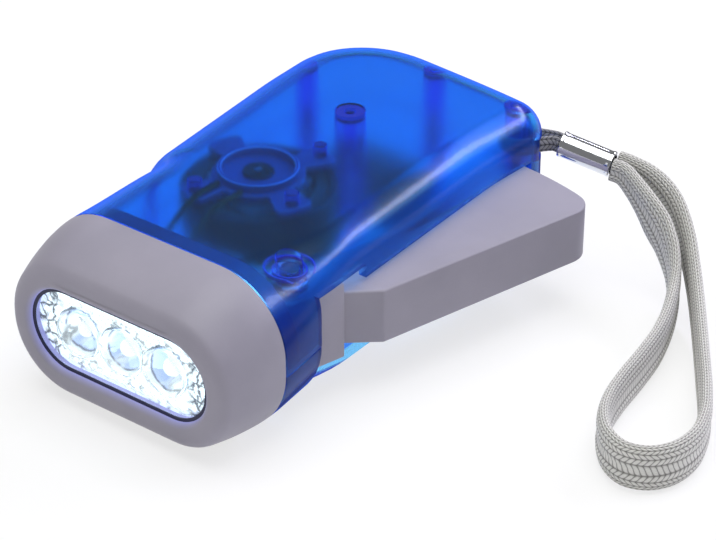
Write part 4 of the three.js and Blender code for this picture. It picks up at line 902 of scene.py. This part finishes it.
# Lever
# A solid grey moulding: a tall hub block on the pin and a long flat arm that flares to its end. It is
# drawn as it lies when squeezed flush, and turned open about the pin.
LEVER_OPEN = math.radians(15.6)
HUB_FACE_X = 3.6
HUB_LENGTH = 9.3
ARM_BOTTOM = 10.6
ARM_TOP = 21.4
ARM_FACE_X = 6.8
ARM_SHOULDER = (2.9, 9.6)
ARM_FRONT_Y = 15.4
ARM_REACH = 64.2
ARM_CORNER = 4.6
ARM_INNER_X = -5.2
ARM_BELLY = (-7.4, 14)
ARM_FLARE_Y = 33
ARM_TAIL_X = -13.5
ARM_ROUNDING = 1.2
ARM_BELLY_ROUNDING = 8
ARM_FLARE_ROUNDING = 12
ARM_END_START = 0.085  # radians past the arm's rounded corner, where its curved end starts
ARM_END_STEPS = 6
HUB_ROUNDING = HUB_RADIUS - 0.01  # a hair less, so that the arc keeps clear of the outline's start
LEVER_EDGE = 0.45
BEVEL_FROM = math.radians(12)  # angle between faces from which an edge is rounded
BEVEL_SEGMENTS = 3


def bevelled_prism(outline, low, high, edge):
    """Vertices and faces of an upright prism with its sharp edges rounded."""
    build = bmesh.new()
    face = build.faces.new([build.verts.new((x, y, low)) for x, y in outline])
    extruded = bmesh.ops.extrude_face_region(build, geom=[face])
    top = [v for v in extruded["geom"] if isinstance(v, bmesh.types.BMVert)]
    bmesh.ops.translate(build, verts=top, vec=(0, 0, high - low))
    bmesh.ops.recalc_face_normals(build, faces=build.faces)
    sharp = [e for e in build.edges if e.calc_face_angle(0) > BEVEL_FROM]
    bmesh.ops.bevel(build, geom=sharp, offset=edge, segments=BEVEL_SEGMENTS, profile=0.5, affect="EDGES")
    build.verts.index_update()
    vertices = [v.co.copy() for v in build.verts]
    faces = [tuple(v.index for v in f.verts) for f in build.faces]
    build.free()
    return vertices, faces


def add_lever():
    corner_turn = math.acos(ARM_FACE_X / ARM_REACH)
    tail_turn = math.acos(ARM_TAIL_X / ARM_REACH)
    sweep = tail_turn - corner_turn - ARM_END_START
    end = [(ARM_REACH * math.cos(corner_turn), ARM_REACH * math.sin(corner_turn), ARM_CORNER)]
    for k in range(ARM_END_STEPS + 1):
        turn = corner_turn + ARM_END_START + sweep * k / ARM_END_STEPS
        rounding = ARM_ROUNDING if k == ARM_END_STEPS else 0
        end.append((ARM_REACH * math.cos(turn), ARM_REACH * math.sin(turn), rounding))
    arm = rounded([
        (ARM_INNER_X, 0, 0),
        (ARM_SHOULDER[0], 0, 0),
        (*ARM_SHOULDER, 0),
        (ARM_FACE_X, ARM_FRONT_Y, ARM_ROUNDING),
        *end,
        (ARM_BELLY[0], ARM_FLARE_Y, ARM_FLARE_ROUNDING),
        (*ARM_BELLY, ARM_BELLY_ROUNDING),
        (ARM_INNER_X, HUB_LENGTH, 0),
    ], 6)
    hub = rounded([
        (-HUB_RADIUS, 0, 0),
        (-HUB_RADIUS, -HUB_RADIUS, HUB_ROUNDING),
        (HUB_FACE_X, -HUB_RADIUS, HUB_FACE_X),
        (HUB_FACE_X, HUB_LENGTH, 0),
        (-HUB_RADIUS, HUB_LENGTH, 0),
    ], 8)
    vertices, faces = [], []
    for outline, low, high in ((arm, ARM_BOTTOM, ARM_TOP), (hub, HUB_BOTTOM, HUB_TOP)):
        more_vertices, more_faces = bevelled_prism(outline, low, high, LEVER_EDGE)
        faces += [tuple(i + len(vertices) for i in f) for f in more_faces]
        vertices += more_vertices
    open_turn = Matrix.Translation(PIVOT) @ Matrix.Rotation(-LEVER_OPEN, 4, "Z")
    placed = [open_turn @ v for v in vertices]
    lever = add_piece("lever_moulding", placed, faces, grey_plastic, "lever", 30)
    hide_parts("lever")


add_lever()


# Lamp
# Behind the window lies a clear plate with a dome over each light, then a metallised reflector with a
# cup for each of the light-emitting diodes, which are lit.
LENS_RECESS = 1.3
LENS_THICKNESS = 1
DOME_RADIUS = 4.7
DOME_HEIGHT = 0.9
DOME_POWER = 0.8  # below 1, it makes the dome fuller
LENS_MESH = (30, 90, 40)  # rows from the middle out, steps along a side and steps round an end
SEAL_WIDTH = 0.65  # dark ring that holds the lens in the window: painted shadow of the gap round the lens
SEAL_THICKNESS = 0.2
SEAL_OVERLAP = 0.02
LED_PITCH = 9.8
LED_XS = [-LED_PITCH, 0, LED_PITCH]
LED_RADIUS = 2.4
LED_LENGTH = 5.4
LED_FLANGE = 2.8
LED_FLANGE_HEIGHT = 1
LED_TIP_STEPS = 8
LED_SIDES = 40
AXIS_HOLE = 0.01  # too fine to be seen, down the middle of a diode
CUP_RADIUS = 4.6
CUP_DEPTH = 2.6
REFLECTOR_DEPTH = 5.4
REFLECTOR_MESH = (70, 170, 60)
CUP_LIP = 0.1  # of a cup's edge, behind the reflector's front
RIPPLE_PLACE = 0.45  # of the rippled web between the cups
RIPPLE_HEIGHT = 0.3
RIPPLES = (3.1, 2.7)  # radians per millimetre, across and up
STILL_RIM = 0.4  # that has no ripples
SHEET_MIDDLE = 0.02  # share of a row that the middle of a sheet is wide
lens_front = LIP_Y + LENS_RECESS
lens_back = lens_front + LENS_THICKNESS
reflector_front = lens_back + FIT_GAP
reflector_back = reflector_front + REFLECTOR_DEPTH
led_base = reflector_back + FIT_GAP


def stadium_sheet(grow, depth_at, rows, side_steps, end_steps):
    """Sheet over the window's outline with its y from depth_at(x, height): vertices, faces, rim size."""
    radius = WINDOW_RADIUS + grow
    flat = WINDOW_HALF_LENGTH - WINDOW_RADIUS
    spine = []
    for start, side in ((-math.pi / 2, 1), (math.pi / 2, -1)):
        spine += [(side * flat, start + math.pi * k / end_steps) for k in range(end_steps)]
        spine += [(side * (flat - 2 * flat * k / side_steps), start + math.pi) for k in range(side_steps)]
    vertices = []
    for r in range(rows + 1):
        reach = radius * (r + SHEET_MIDDLE) / (rows + SHEET_MIDDLE)
        for x, turn in spine:
            px, pz = x + reach * math.cos(turn), reach * math.sin(turn)
            vertices.append((px, depth_at(px, pz), WINDOW_HEIGHT + pz))
    count = len(spine)
    faces = [
        (r * count + k, r * count + (k + 1) % count, (r + 1) * count + (k + 1) % count, (r + 1) * count + k)
        for r in range(rows)
        for k in range(count)
    ]
    bottom = [(2 * end_steps + side_steps + k) % count for k in range(side_steps + 1)]
    for k in range(side_steps):
        upper = end_steps + k
        faces.append((upper + 1, upper, bottom[side_steps - k], bottom[side_steps - k - 1]))
    faces.append(tuple(reversed(range(end_steps + 1))))
    faces.append(tuple(reversed(range(end_steps + side_steps, 2 * end_steps + side_steps + 1))))
    return vertices, faces, count


def stadium_slab(grow, front_at, back, rows, side_steps, end_steps):
    """Closed slab over the window's outline between front_at(x, height) and a flat back."""
    front, faces, count = stadium_sheet(grow, front_at, rows, side_steps, end_steps)
    behind, back_faces, _ = stadium_sheet(grow, lambda x, z: back, rows, side_steps, end_steps)
    shift = len(front)
    rim = shift - count
    faces = [tuple(reversed(f)) for f in faces] + [tuple(i + shift for i in f) for f in back_faces]
    for k in range(count):
        here, there = rim + k, rim + (k + 1) % count
        faces.append((here, there, shift + there, shift + here))
    return front + behind, faces


def lens_material():
    """Clear lens plastic with a finely uneven polish."""
    material, nodes, links, shader = new_material(
        "clear_lens_plastic", Base_Color=(0.95, 0.98, 1, 1), IOR=1.45, Transmission_Weight=1.0
    )
    polish(nodes, links, shader, 260, 0.01, 0.05)
    let_light_in(nodes, links, shader.outputs[0], (1, 1, 1, 1))
    return material


def add_lens():
    def front_at(x, z):
        nearest = min(math.hypot(x - c, z) for c in LED_XS)
        if nearest >= DOME_RADIUS:
            return lens_front
        return lens_front - DOME_HEIGHT * math.cos(math.pi / 2 * nearest / DOME_RADIUS) ** DOME_POWER

    vertices, faces = stadium_slab(-FIT_GAP, front_at, lens_back, *LENS_MESH)
    lens = add_piece("lens_plate", vertices, faces, lens_material(), sharp_degrees=30)
    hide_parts("lens_cover")
    front, back = lens_front - SEAL_THICKNESS, lens_front + SEAL_OVERLAP
    corners = ((front, SEAL_OVERLAP), (front, -SEAL_WIDTH), (back, -SEAL_WIDTH), (back, SEAL_OVERLAP))
    # a ring of painted shadow, in the gap between the lens and the window's wall
    gap_shadow_plastic = moulded_plastic("lens_gap_shadow", linear(14, 16, 52), linear(20, 22, 66), 0.5)
    closed_piece("lens_seal", [window_ring(*corner) for corner in corners], gap_shadow_plastic)


add_lens()


def reflector_material():
    """Bright metallised plastic with the diodes' light painted on it as a glow, a painted reflection: blue
    cups, each with a thin dark rim and a dark hook of painted shade, and pale patches of painted glint.

    It is crinkled like a cut gem towards both ends, with painted shade in its creases. The map "cup" holds
    how far a place lies from its cup's axis, in cup radii, and the way round the axis, in turns.
    """
    material, nodes, links, shader = new_material("metallised_plastic", Metallic=1.0, Roughness=0.16)
    # painted light: the reflector glows with the diodes' light, as emission
    shader.inputs["Emission Strength"].default_value = 0.85
    place = nodes.new("ShaderNodeTexCoord").outputs["Object"]
    warp = fill(links, nodes.new("ShaderNodeTexNoise"), Scale=420, Detail=3, Vector=place)
    shift = nodes.new("ShaderNodeVectorMath")
    shift.operation = "SCALE"
    fill(links, shift, Scale=2.2 * MM, Vector=warp.outputs["Color"])
    moved = nodes.new("ShaderNodeVectorMath")
    links.new(place, moved.inputs[0])
    links.new(shift.outputs[0], moved.inputs[1])
    creases = nodes.new("ShaderNodeTexVoronoi")
    creases.feature = "DISTANCE_TO_EDGE"
    fill(links, creases, Scale=420, Vector=moved.outputs[0])
    crease = map_range(nodes, links, creases.outputs["Distance"], 0.02, 0.16, 1, 0)
    split = fill(links, nodes.new("ShaderNodeSeparateXYZ"), Vector=place)
    off_middle = math_node(nodes, links, "ABSOLUTE", split.outputs["X"])
    at_end = map_range(nodes, links, off_middle, 13 * MM, 15.5 * MM)
    patches = fill(links, nodes.new("ShaderNodeTexNoise"), Scale=330, Vector=place)
    stray = map_range(nodes, links, patches.outputs["Fac"], 0.5, 0.62, 0, 0.7)
    # painted shade in the creases towards both ends and in stray patches
    crease_shade = math_node(nodes, links, "MULTIPLY", crease, math_node(nodes, links, "MAXIMUM", at_end, stray))

    cup = nodes.new("ShaderNodeUVMap")
    cup.uv_map = "cup"
    polar = fill(links, nodes.new("ShaderNodeSeparateXYZ"), Vector=cup.outputs["UV"])
    off_round = math_node(nodes, links, "SUBTRACT", warp.outputs["Fac"], 0.5)
    ragged = math_node(nodes, links, "MULTIPLY", off_round, 0.16)
    reach = math_node(nodes, links, "ADD", polar.outputs["X"], ragged)
    half = math_node(nodes, links, "MULTIPLY", reach, 0.5)
    # painted reflection of the diodes' light in each cup, with thin dark rims of painted shade
    glow = colour_ramp(
        nodes, links, half,
        (0, (0.62, 0.8, 1, 1)),
        (0.22, (0.26, 0.4, 0.8, 1)),
        (0.38, (0.5, 0.66, 0.95, 1)),
        (0.4, (0.1, 0.13, 0.22, 1)),
        (0.42, (0.8, 0.93, 1, 1)),
        (0.485, (0.85, 0.97, 1, 1)),
        (0.5, (0.2, 0.27, 0.36, 1)),
        (0.52, (0.8, 0.93, 0.98, 1)),
    )
    way_round = polar.outputs["Y"]
    # a dark hook of painted shade on one side of each cup
    hook_shade = map_range(nodes, links, way_round, 0.2, 0.3)
    for value, *limits in ((way_round, 0.4, 0.47, 1, 0), (reach, 0.8, 0.86), (reach, 0.98, 1.06, 1, 0)):
        hook_shade = math_node(nodes, links, "MULTIPLY", hook_shade, map_range(nodes, links, value, *limits))
    dark = math_node(nodes, links, "MAXIMUM", crease_shade, hook_shade)
    # pale patches of painted glint
    bright = map_range(nodes, links, patches.outputs["Fac"], 0.48, 0.6)
    for share, colour in ((bright, (0.85, 0.97, 1, 1)), (dark, (0.05, 0.07, 0.1, 1))):
        mix = nodes.new("ShaderNodeMix")
        mix.data_type = "RGBA"
        glow = fill(links, mix, Factor=share, A=glow, B=colour).outputs["Result"]
    bump = nodes.new("ShaderNodeBump")
    fill(links, bump, Strength=0.7, Distance=0.3 * MM, Height=creases.outputs["Distance"])
    fill(links, shader, Emission_Color=glow, Base_Color=glow, Normal=bump.outputs["Normal"])
    return material


def add_reflector():
    def front_at(x, z):
        reach = min(math.hypot(x - c, z) for c in LED_XS)
        if reach >= CUP_RADIUS:
            end = WINDOW_HALF_LENGTH - WINDOW_RADIUS
            to_rim = WINDOW_RADIUS - FIT_GAP - math.hypot(max(0, abs(x) - end), z)
            wave = math.sin(RIPPLES[0] * x + z) * math.sin(RIPPLES[1] * z)
            ripple = RIPPLE_HEIGHT * wave * min(1, max(0, to_rim - STILL_RIM))
            return reflector_front + RIPPLE_PLACE + ripple
        share = (reach / CUP_RADIUS) ** 2
        return reflector_front + CUP_LIP + CUP_DEPTH * (1 - share)

    vertices, faces = stadium_slab(-FIT_GAP, front_at, reflector_back, *REFLECTOR_MESH)
    reflector = add_piece(
        "reflector_cups", vertices, faces, reflector_material(), sharp_degrees=60
    )
    layer = reflector.data.uv_layers.new(name="cup")
    for corner in reflector.data.loops:
        place = reflector.data.vertices[corner.vertex_index].co / MM
        centre = min(LED_XS, key=lambda c: abs(place.x - c))
        x, z = place.x - centre, place.z - WINDOW_HEIGHT
        layer.data[corner.index].uv = (math.hypot(x, z) / CUP_RADIUS, math.atan2(z, x) / (2 * math.pi))
    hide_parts("reflector")


add_reflector()


def turned(profile, sides=64):
    """Vertices and faces of a ring turned about Z from its closed profile of (radius, height) points."""
    vertices = [
        (r * math.cos(2 * math.pi * k / sides), r * math.sin(2 * math.pi * k / sides), z)
        for k in range(sides)
        for r, z in profile
    ]
    count = len(profile)
    faces = []
    for k in range(sides):
        here, there = k * count, (k + 1) % sides * count
        for i in range(count):
            j = (i + 1) % count
            faces.append((here + i, there + i, there + j, here + j))
    return vertices, faces


def add_leds():
    material, nodes, links, shader = new_material(
        "lit_diode", Base_Color=(0.9, 0.95, 1, 1), Roughness=0.1, Emission_Strength=0.95
    )
    noise = fill(links, nodes.new("ShaderNodeTexNoise"), Scale=420, Detail=3)
    shades = (0.42, (0.3, 0.45, 0.85, 1)), (0.52, (0.62, 0.78, 1, 1)), (0.6, (1, 1, 1, 1))
    fill(links, shader, Emission_Color=colour_ramp(nodes, links, noise.outputs["Fac"], *shades))
    tip, flange_end = led_base - LED_LENGTH, led_base + LED_FLANGE_HEIGHT
    profile = [(AXIS_HOLE, tip)]
    for k in range(1, LED_TIP_STEPS + 1):
        turn = math.pi / 2 * k / LED_TIP_STEPS
        profile.append((LED_RADIUS * math.sin(turn), tip + LED_RADIUS * (1 - math.cos(turn))))
    profile += [(LED_RADIUS, led_base), (LED_FLANGE, led_base)]
    profile += [(LED_FLANGE, flange_end), (AXIS_HOLE, flange_end)]
    vertices, faces = turned(profile, LED_SIDES)
    faces = [tuple(reversed(f)) for f in faces]
    for k, x in enumerate(LED_XS):
        placed = [(x + v[0], v[2], WINDOW_HEIGHT - v[1]) for v in vertices]
        diode = add_piece(f"diode_{k + 1}", placed, faces, material)
        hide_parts(f"led_{k + 1}")


add_leds()


# Ferrule
# A short crimp tube of chromed brass with rolled ends, which closes the strap and holds its two legs.
FERRULE_RADIUS = 2.5
FERRULE_BORE = 1.9
FERRULE_LENGTH = 10.6
FERRULE_YAW = math.radians(12)
FERRULE_DROP = math.radians(11)
# Points of its rolled edge, past its radius and in from its end
FERRULE_ROLL = [(-0.1, 0), (0.084, 0.1), (0.12, 0.35), (0.06, 0.65), (0, 0.8)]
FERRULE_STEPS = 12


def add_ferrule():
    profile = [(FERRULE_BORE, 0)] + [(FERRULE_RADIUS + past, z) for past, z in FERRULE_ROLL]
    other_end = [(r, FERRULE_LENGTH - z) for r, z in reversed(profile)]
    roll_end = FERRULE_ROLL[-1][1]
    for k in range(1, FERRULE_STEPS):
        height = roll_end + (FERRULE_LENGTH - 2 * roll_end) * k / FERRULE_STEPS
        profile.append((FERRULE_RADIUS, height))
    profile += other_end
    vertices, faces = turned(profile)
    turn = Matrix.Rotation(FERRULE_YAW, 4, "Z") @ Matrix.Rotation(math.pi / 2 + FERRULE_DROP, 4, "Y")
    placed = [FERRULE_PLACE + turn @ Vector(v) for v in vertices]
    material, nodes, links, shader = new_material("chrome", Metallic=1.0, Base_Color=(0.8, 0.82, 0.86, 1))
    polish(nodes, links, shader, 900, 0.04, 0.16)
    ferrule = add_piece("crimp_ferrule", placed, faces, material, sharp_degrees=40)
    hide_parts("strap_ferrule")


add_ferrule()


# Strap anchor
# The inner end of the same braid: from the ferrule into the rear corner, round the screw post and back.
ANCHOR_RADIUS = 2.95  # of the braid's middle round the post
ANCHOR_HEIGHT = 23.4
ANCHOR_WIDTH = 3.3
ANCHOR_THICKNESS = 0.9
ANCHOR_SPREAD = 1
ANCHOR_LEG_START = 1  # straight length of each leg at the ferrule
ANCHOR_RELIEF = 0.06
ANCHOR_STEP = 0.2
ANCHOR_WRAP_STEPS = 14
ANCHOR_COLUMNS = 8
ANCHOR_SHADED_YARN = (linear(62, 62, 66), linear(176, 175, 178))  # darker copy of the yarn: painted shade where the braid runs into the body


def add_anchor():
    post = Vector((POSTS[2][0], POSTS[2][1], ANCHOR_HEIGHT))
    away = FERRULE_PLACE - post
    touch = math.acos((ANCHOR_RADIUS - ANCHOR_SPREAD) / math.hypot(away.x, away.y))
    first = math.atan2(away.y, away.x) + touch
    turns = [first + 2 * (math.pi - touch) * k / ANCHOR_WRAP_STEPS for k in range(ANCHOR_WRAP_STEPS + 1)]
    wrap = [post + ANCHOR_RADIUS * Vector((math.cos(t), math.sin(t), 0)) for t in turns]
    drop = Vector((math.cos(FERRULE_DROP), 0, -math.sin(FERRULE_DROP)))
    along = Matrix.Rotation(FERRULE_YAW, 4, "Z") @ drop
    beside = Vector((-math.sin(FERRULE_YAW), math.cos(FERRULE_YAW), 0))
    starts = (FIT_GAP, FIT_GAP + ANCHOR_LEG_START)
    legs = [
        [FERRULE_PLACE - along * back + beside * side * ANCHOR_SPREAD for back in starts]
        for side in (1, -1)
    ]
    route = centripetal([*legs[0], *wrap, *reversed(legs[1])], ANCHOR_STEP)
    vertices, uvs = [], []
    sides = ANCHOR_COLUMNS * COLUMN_SIDES
    for k, place in enumerate(route):
        across, through = axes_at(route, k)
        for i in range(sides):
            turn = 2 * math.pi * i / sides
            c, s = math.cos(turn), math.sin(turn)
            out = across * c * ANCHOR_WIDTH / 2 + through * s * ANCHOR_THICKNESS / 2
            spot = (k * ANCHOR_STEP / STITCH_PITCH, i / COLUMN_SIDES)
            vertices.append(place + out * (1 + ANCHOR_RELIEF * (braid_relief(*spot) - 1)))
            uvs.append(spot)
    faces = tube_faces(len(route), sides)
    # darker yarn: painted shade inside the body's rear corner
    yarn = strap_material("shaded_braid", *ANCHOR_SHADED_YARN)
    anchor = add_piece("strap_anchor_braid", vertices, faces, yarn, sharp_degrees=80)
    map_yarn(anchor, uvs, ANCHOR_COLUMNS)
    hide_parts("strap_anchor")


add_anchor()


# Generator
# A heavy flywheel turns under a lobed bridge of dark plastic, which hangs from the top on four pegs and
# holds the shaft's upper end in a bronze bush. The bridge's sloped edges carry a paler painted highlight.
FLYWHEEL_PROFILE = [
    (0.78, 17.6), (14.2, 17.6), (14.4, 17.8), (14.4, 25.8), (14.2, 26), (13.1, 26), (12.9, 25.8),
    (12.9, 19), (2.2, 19), (2.2, 19.7), (0.78, 19.7),
]
BRIDGE_BOTTOM = 26.9
BRIDGE_RADIUS = 8.6
LOBE_REACH = 15.2
LOBE_HALF_ANGLE = math.radians(15)
BRIDGE_EDGE = 0.16
LOBE_ROUNDING = 1.6
LOBE_ROOT_ROUNDING = 0.5
BRIDGE_ARC_STEPS = 8  # of the rim between two lobes
HIGHLIGHT_SLOPE = (0.3, 0.95)  # rise of the normal between which a face carries the paler painted highlight
ROUND_SIDES = 128
RING_PROFILE = [
    (6.7, PEG_BOTTOM), (7.5, PEG_BOTTOM), (7.5, 29.5), (7.32, 29.7), (6.88, 29.7), (6.7, 29.5),
]
BUSH_PROFILE = [
    (0.85, 28.1), (2.75, 28.1), (2.9, 28.25), (2.9, 28.6), (2.8, 28.7), (1.3, 28.7), (0.85, 28.6),
]

dark_plastic = moulded_plastic("dark_plastic", linear(20, 22, 30), linear(30, 32, 42), 0.35)
bridge_plastic = moulded_plastic("bridge_plastic", linear(62, 62, 112), linear(76, 76, 128), 0.4)
# paler plastic for the painted highlight on the bridge's edges
edge_highlight_plastic = moulded_plastic("painted_edge_highlight", linear(120, 128, 176), linear(150, 158, 200), 0.4)
dark_bronze = moulded_plastic("oiled_bronze", linear(14, 9, 5), linear(22, 14, 8), 0.5)


def add_bridge():
    corners = []
    lobe = [(BRIDGE_RADIUS, -1, LOBE_ROOT_ROUNDING), (LOBE_REACH, -1, LOBE_ROUNDING)]
    lobe += [(LOBE_REACH, 1, LOBE_ROUNDING), (BRIDGE_RADIUS, 1, LOBE_ROOT_ROUNDING)]
    for turn in LOBE_TURNS:
        for radius, share, rounding in lobe:
            angle = turn + share * LOBE_HALF_ANGLE
            corners.append((radius * math.cos(angle), radius * math.sin(angle), rounding))
        for k in range(1, BRIDGE_ARC_STEPS):
            angle = turn + LOBE_HALF_ANGLE + (math.pi / 2 - 2 * LOBE_HALF_ANGLE) * k / BRIDGE_ARC_STEPS
            corners.append((BRIDGE_RADIUS * math.cos(angle), BRIDGE_RADIUS * math.sin(angle), 0))
    vertices, faces = bevelled_prism(rounded(corners), BRIDGE_BOTTOM, PEG_BOTTOM, BRIDGE_EDGE)
    ring_vertices, ring_faces = turned(RING_PROFILE, ROUND_SIDES)
    faces += [tuple(i + len(vertices) for i in f) for f in ring_faces]
    vertices += [Vector(v) for v in ring_vertices]
    placed = [ROTOR + v for v in vertices]
    bridge = add_piece("generator_bridge", placed, faces, bridge_plastic)
    # sloped edge faces get the paler plastic, a painted highlight
    bridge.data.materials.append(edge_highlight_plastic)
    for polygon in bridge.data.polygons:
        polygon.material_index = HIGHLIGHT_SLOPE[0] < polygon.normal.z < HIGHLIGHT_SLOPE[1]
    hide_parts("bearing_bridge")


def add_turned(name, profile, material, body, node):
    """A smooth turned piece about the rotor's axis in place of a node."""
    vertices, faces = turned(profile, ROUND_SIDES)
    piece = add_piece(name, [ROTOR + Vector(v) for v in vertices], faces, material, body, 30)
    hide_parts(node)


add_bridge()
add_turned("flywheel_rim", FLYWHEEL_PROFILE, dark_plastic, "rotor", "flywheel")
add_turned("shaft_bush", BUSH_PROFILE, dark_bronze, "root", "bridge_bush")


# Works inside the body
# The gears, shafts, stator, cells and wires keep their solids, and get the finish of their real stuff.
# The cells are dark all over.
METAL_SCALE = 400
METAL_DULLING = 0.75  # of its darker patches
METAL_POLISH = (0.7, 1.4)  # lowest and highest share of its roughness


def plain_metal(name, colour, roughness):
    """Metal with fine uneven polish."""
    material, nodes, links, shader = new_material(name, Metallic=1.0)
    noise = fill(links, nodes.new("ShaderNodeTexNoise"), Scale=METAL_SCALE)
    dull = tuple(c * METAL_DULLING for c in colour[:3]) + (1,)
    shade = colour_ramp(nodes, links, noise.outputs["Fac"], (0.35, dull), (0.65, colour))
    fill(links, shader, Base_Color=shade)
    polish(nodes, links, shader, METAL_SCALE, *[roughness * share for share in METAL_POLISH])
    return material


gear_plastic = moulded_plastic("gear_plastic", linear(150, 152, 160), linear(168, 170, 178), 0.4)
# dark all over, for the cells
dark_cell_plastic = moulded_plastic("dark_cell_plastic", linear(15, 16, 26), linear(24, 25, 38), 0.3)
board_green = moulded_plastic("board_lacquer", linear(20, 80, 52), linear(26, 92, 60), 0.3)
magnet_grey = moulded_plastic("sintered_magnet", linear(38, 38, 42), linear(52, 52, 56), 0.6)
steel = plain_metal("plain_steel", (0.55, 0.57, 0.6, 1), 0.3)
brass = plain_metal("brass", (0.62, 0.46, 0.18, 1), 0.3)
copper = plain_metal("enamelled_copper", (0.3, 0.12, 0.05, 1), 0.35)
FINISHES = [
    (dark_plastic, ["rectifier", "cell_cradle", "cell_lead_1", "cell_lead_2"]),
    (gear_plastic, ["sector_gear", "drive_wheel", "drive_pinion", "coil_bobbin"]),
    (board_green, ["led_board"]),
    (magnet_grey, ["magnet_ring"]),
    (brass, ["rotor_pinion"]),
    (copper, ["stator_coil", "coil_lead_1", "coil_lead_2"]),
    (dark_cell_plastic, ["button_cell_1", "button_cell_2", "button_cell_3"]),
    (steel, [
        "case_screw_1", "case_screw_2", "case_screw_3", "case_screw_4", "lever_pin", "return_spring",
        "gear_axle", "axle_clip", "rotor_shaft", "yoke_bottom", "yoke_top",
    ]),
]
for finish, names in FINISHES:
    for name in names:
        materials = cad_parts[name].data.materials
        materials.clear()
        materials.append(finish)


# Floor and light
# A pale floor, a large soft light overhead, a smaller and weaker one from the left and a strip behind on
# the right that draws the bright line along the body's rim.
FLOOR_SIZE = 4
FLOOR_WHITENESS = 0.72  # share of plain white that the floor shows, over its own lit paper with the shadow
floor_mesh = bpy.data.meshes.new("floor")
floor_corners = [(x * FLOOR_SIZE, y * FLOOR_SIZE, 0) for x, y in ((-1, -1), (1, -1), (1, 1), (-1, 1))]
floor_mesh.from_pydata(floor_corners, [], [(0, 1, 2, 3)])
floor = bpy.data.objects.new("floor", floor_mesh)
scene.collection.objects.link(floor)
floor_paint, floor_nodes, floor_links, floor_shader = new_material(
    "pale_floor", Base_Color=(0.94, 0.94, 0.94, 1), Roughness=0.9, Specular_IOR_Level=0
)
floor_mesh.materials.append(floor_paint)
path = floor_nodes.new("ShaderNodeLightPath")
seen = path.outputs["Is Camera Ray"]
for ray in ("Is Glossy Ray", "Is Transmission Ray"):
    seen = math_node(floor_nodes, floor_links, "MAXIMUM", seen, path.outputs[ray])
whitened = math_node(floor_nodes, floor_links, "MULTIPLY", seen, FLOOR_WHITENESS)
white = floor_nodes.new("ShaderNodeEmission")
paper = mixed(floor_nodes, floor_links, whitened, floor_shader.outputs[0], white.outputs[0])
fill(floor_links, floor_nodes["Material Output"], Surface=paper)

world = bpy.data.worlds.new("studio")
world.use_nodes = True
fill(world.node_tree.links, world.node_tree.nodes["Background"], Color=(1, 1, 1, 1), Strength=0.2)
scene.world = world

LAMPS = [  # name, colour, azimuth, elevation, distance, width, height, watts
    ("overhead_softbox", (1, 1, 1), 0, 88, 0.9, 0.9, 0.9, 8),
    ("left_softbox", (1, 1, 1), -30, 16, 0.9, 0.5, 0.5, 0.45),
    ("rim_strip", (0.8, 0.78, 1), 157, 38.5, 0.8, 0.95, 0.11, 3.9),
]
for name, colour, azimuth, elevation, distance, width, height, watts in LAMPS:
    data = bpy.data.lights.new(name, "AREA")
    data.shape = "RECTANGLE"
    data.size = width
    data.size_y = height
    data.energy = watts
    data.color = colour
    lamp = bpy.data.objects.new(name, data)
    a, e = math.radians(azimuth), math.radians(elevation)
    away = Vector((math.sin(a) * math.cos(e), -math.cos(a) * math.cos(e), math.sin(e)))
    lamp.location = away * distance
    lamp.rotation_euler = away.to_track_quat("Z", "Y").to_euler()
    scene.collection.objects.link(lamp)
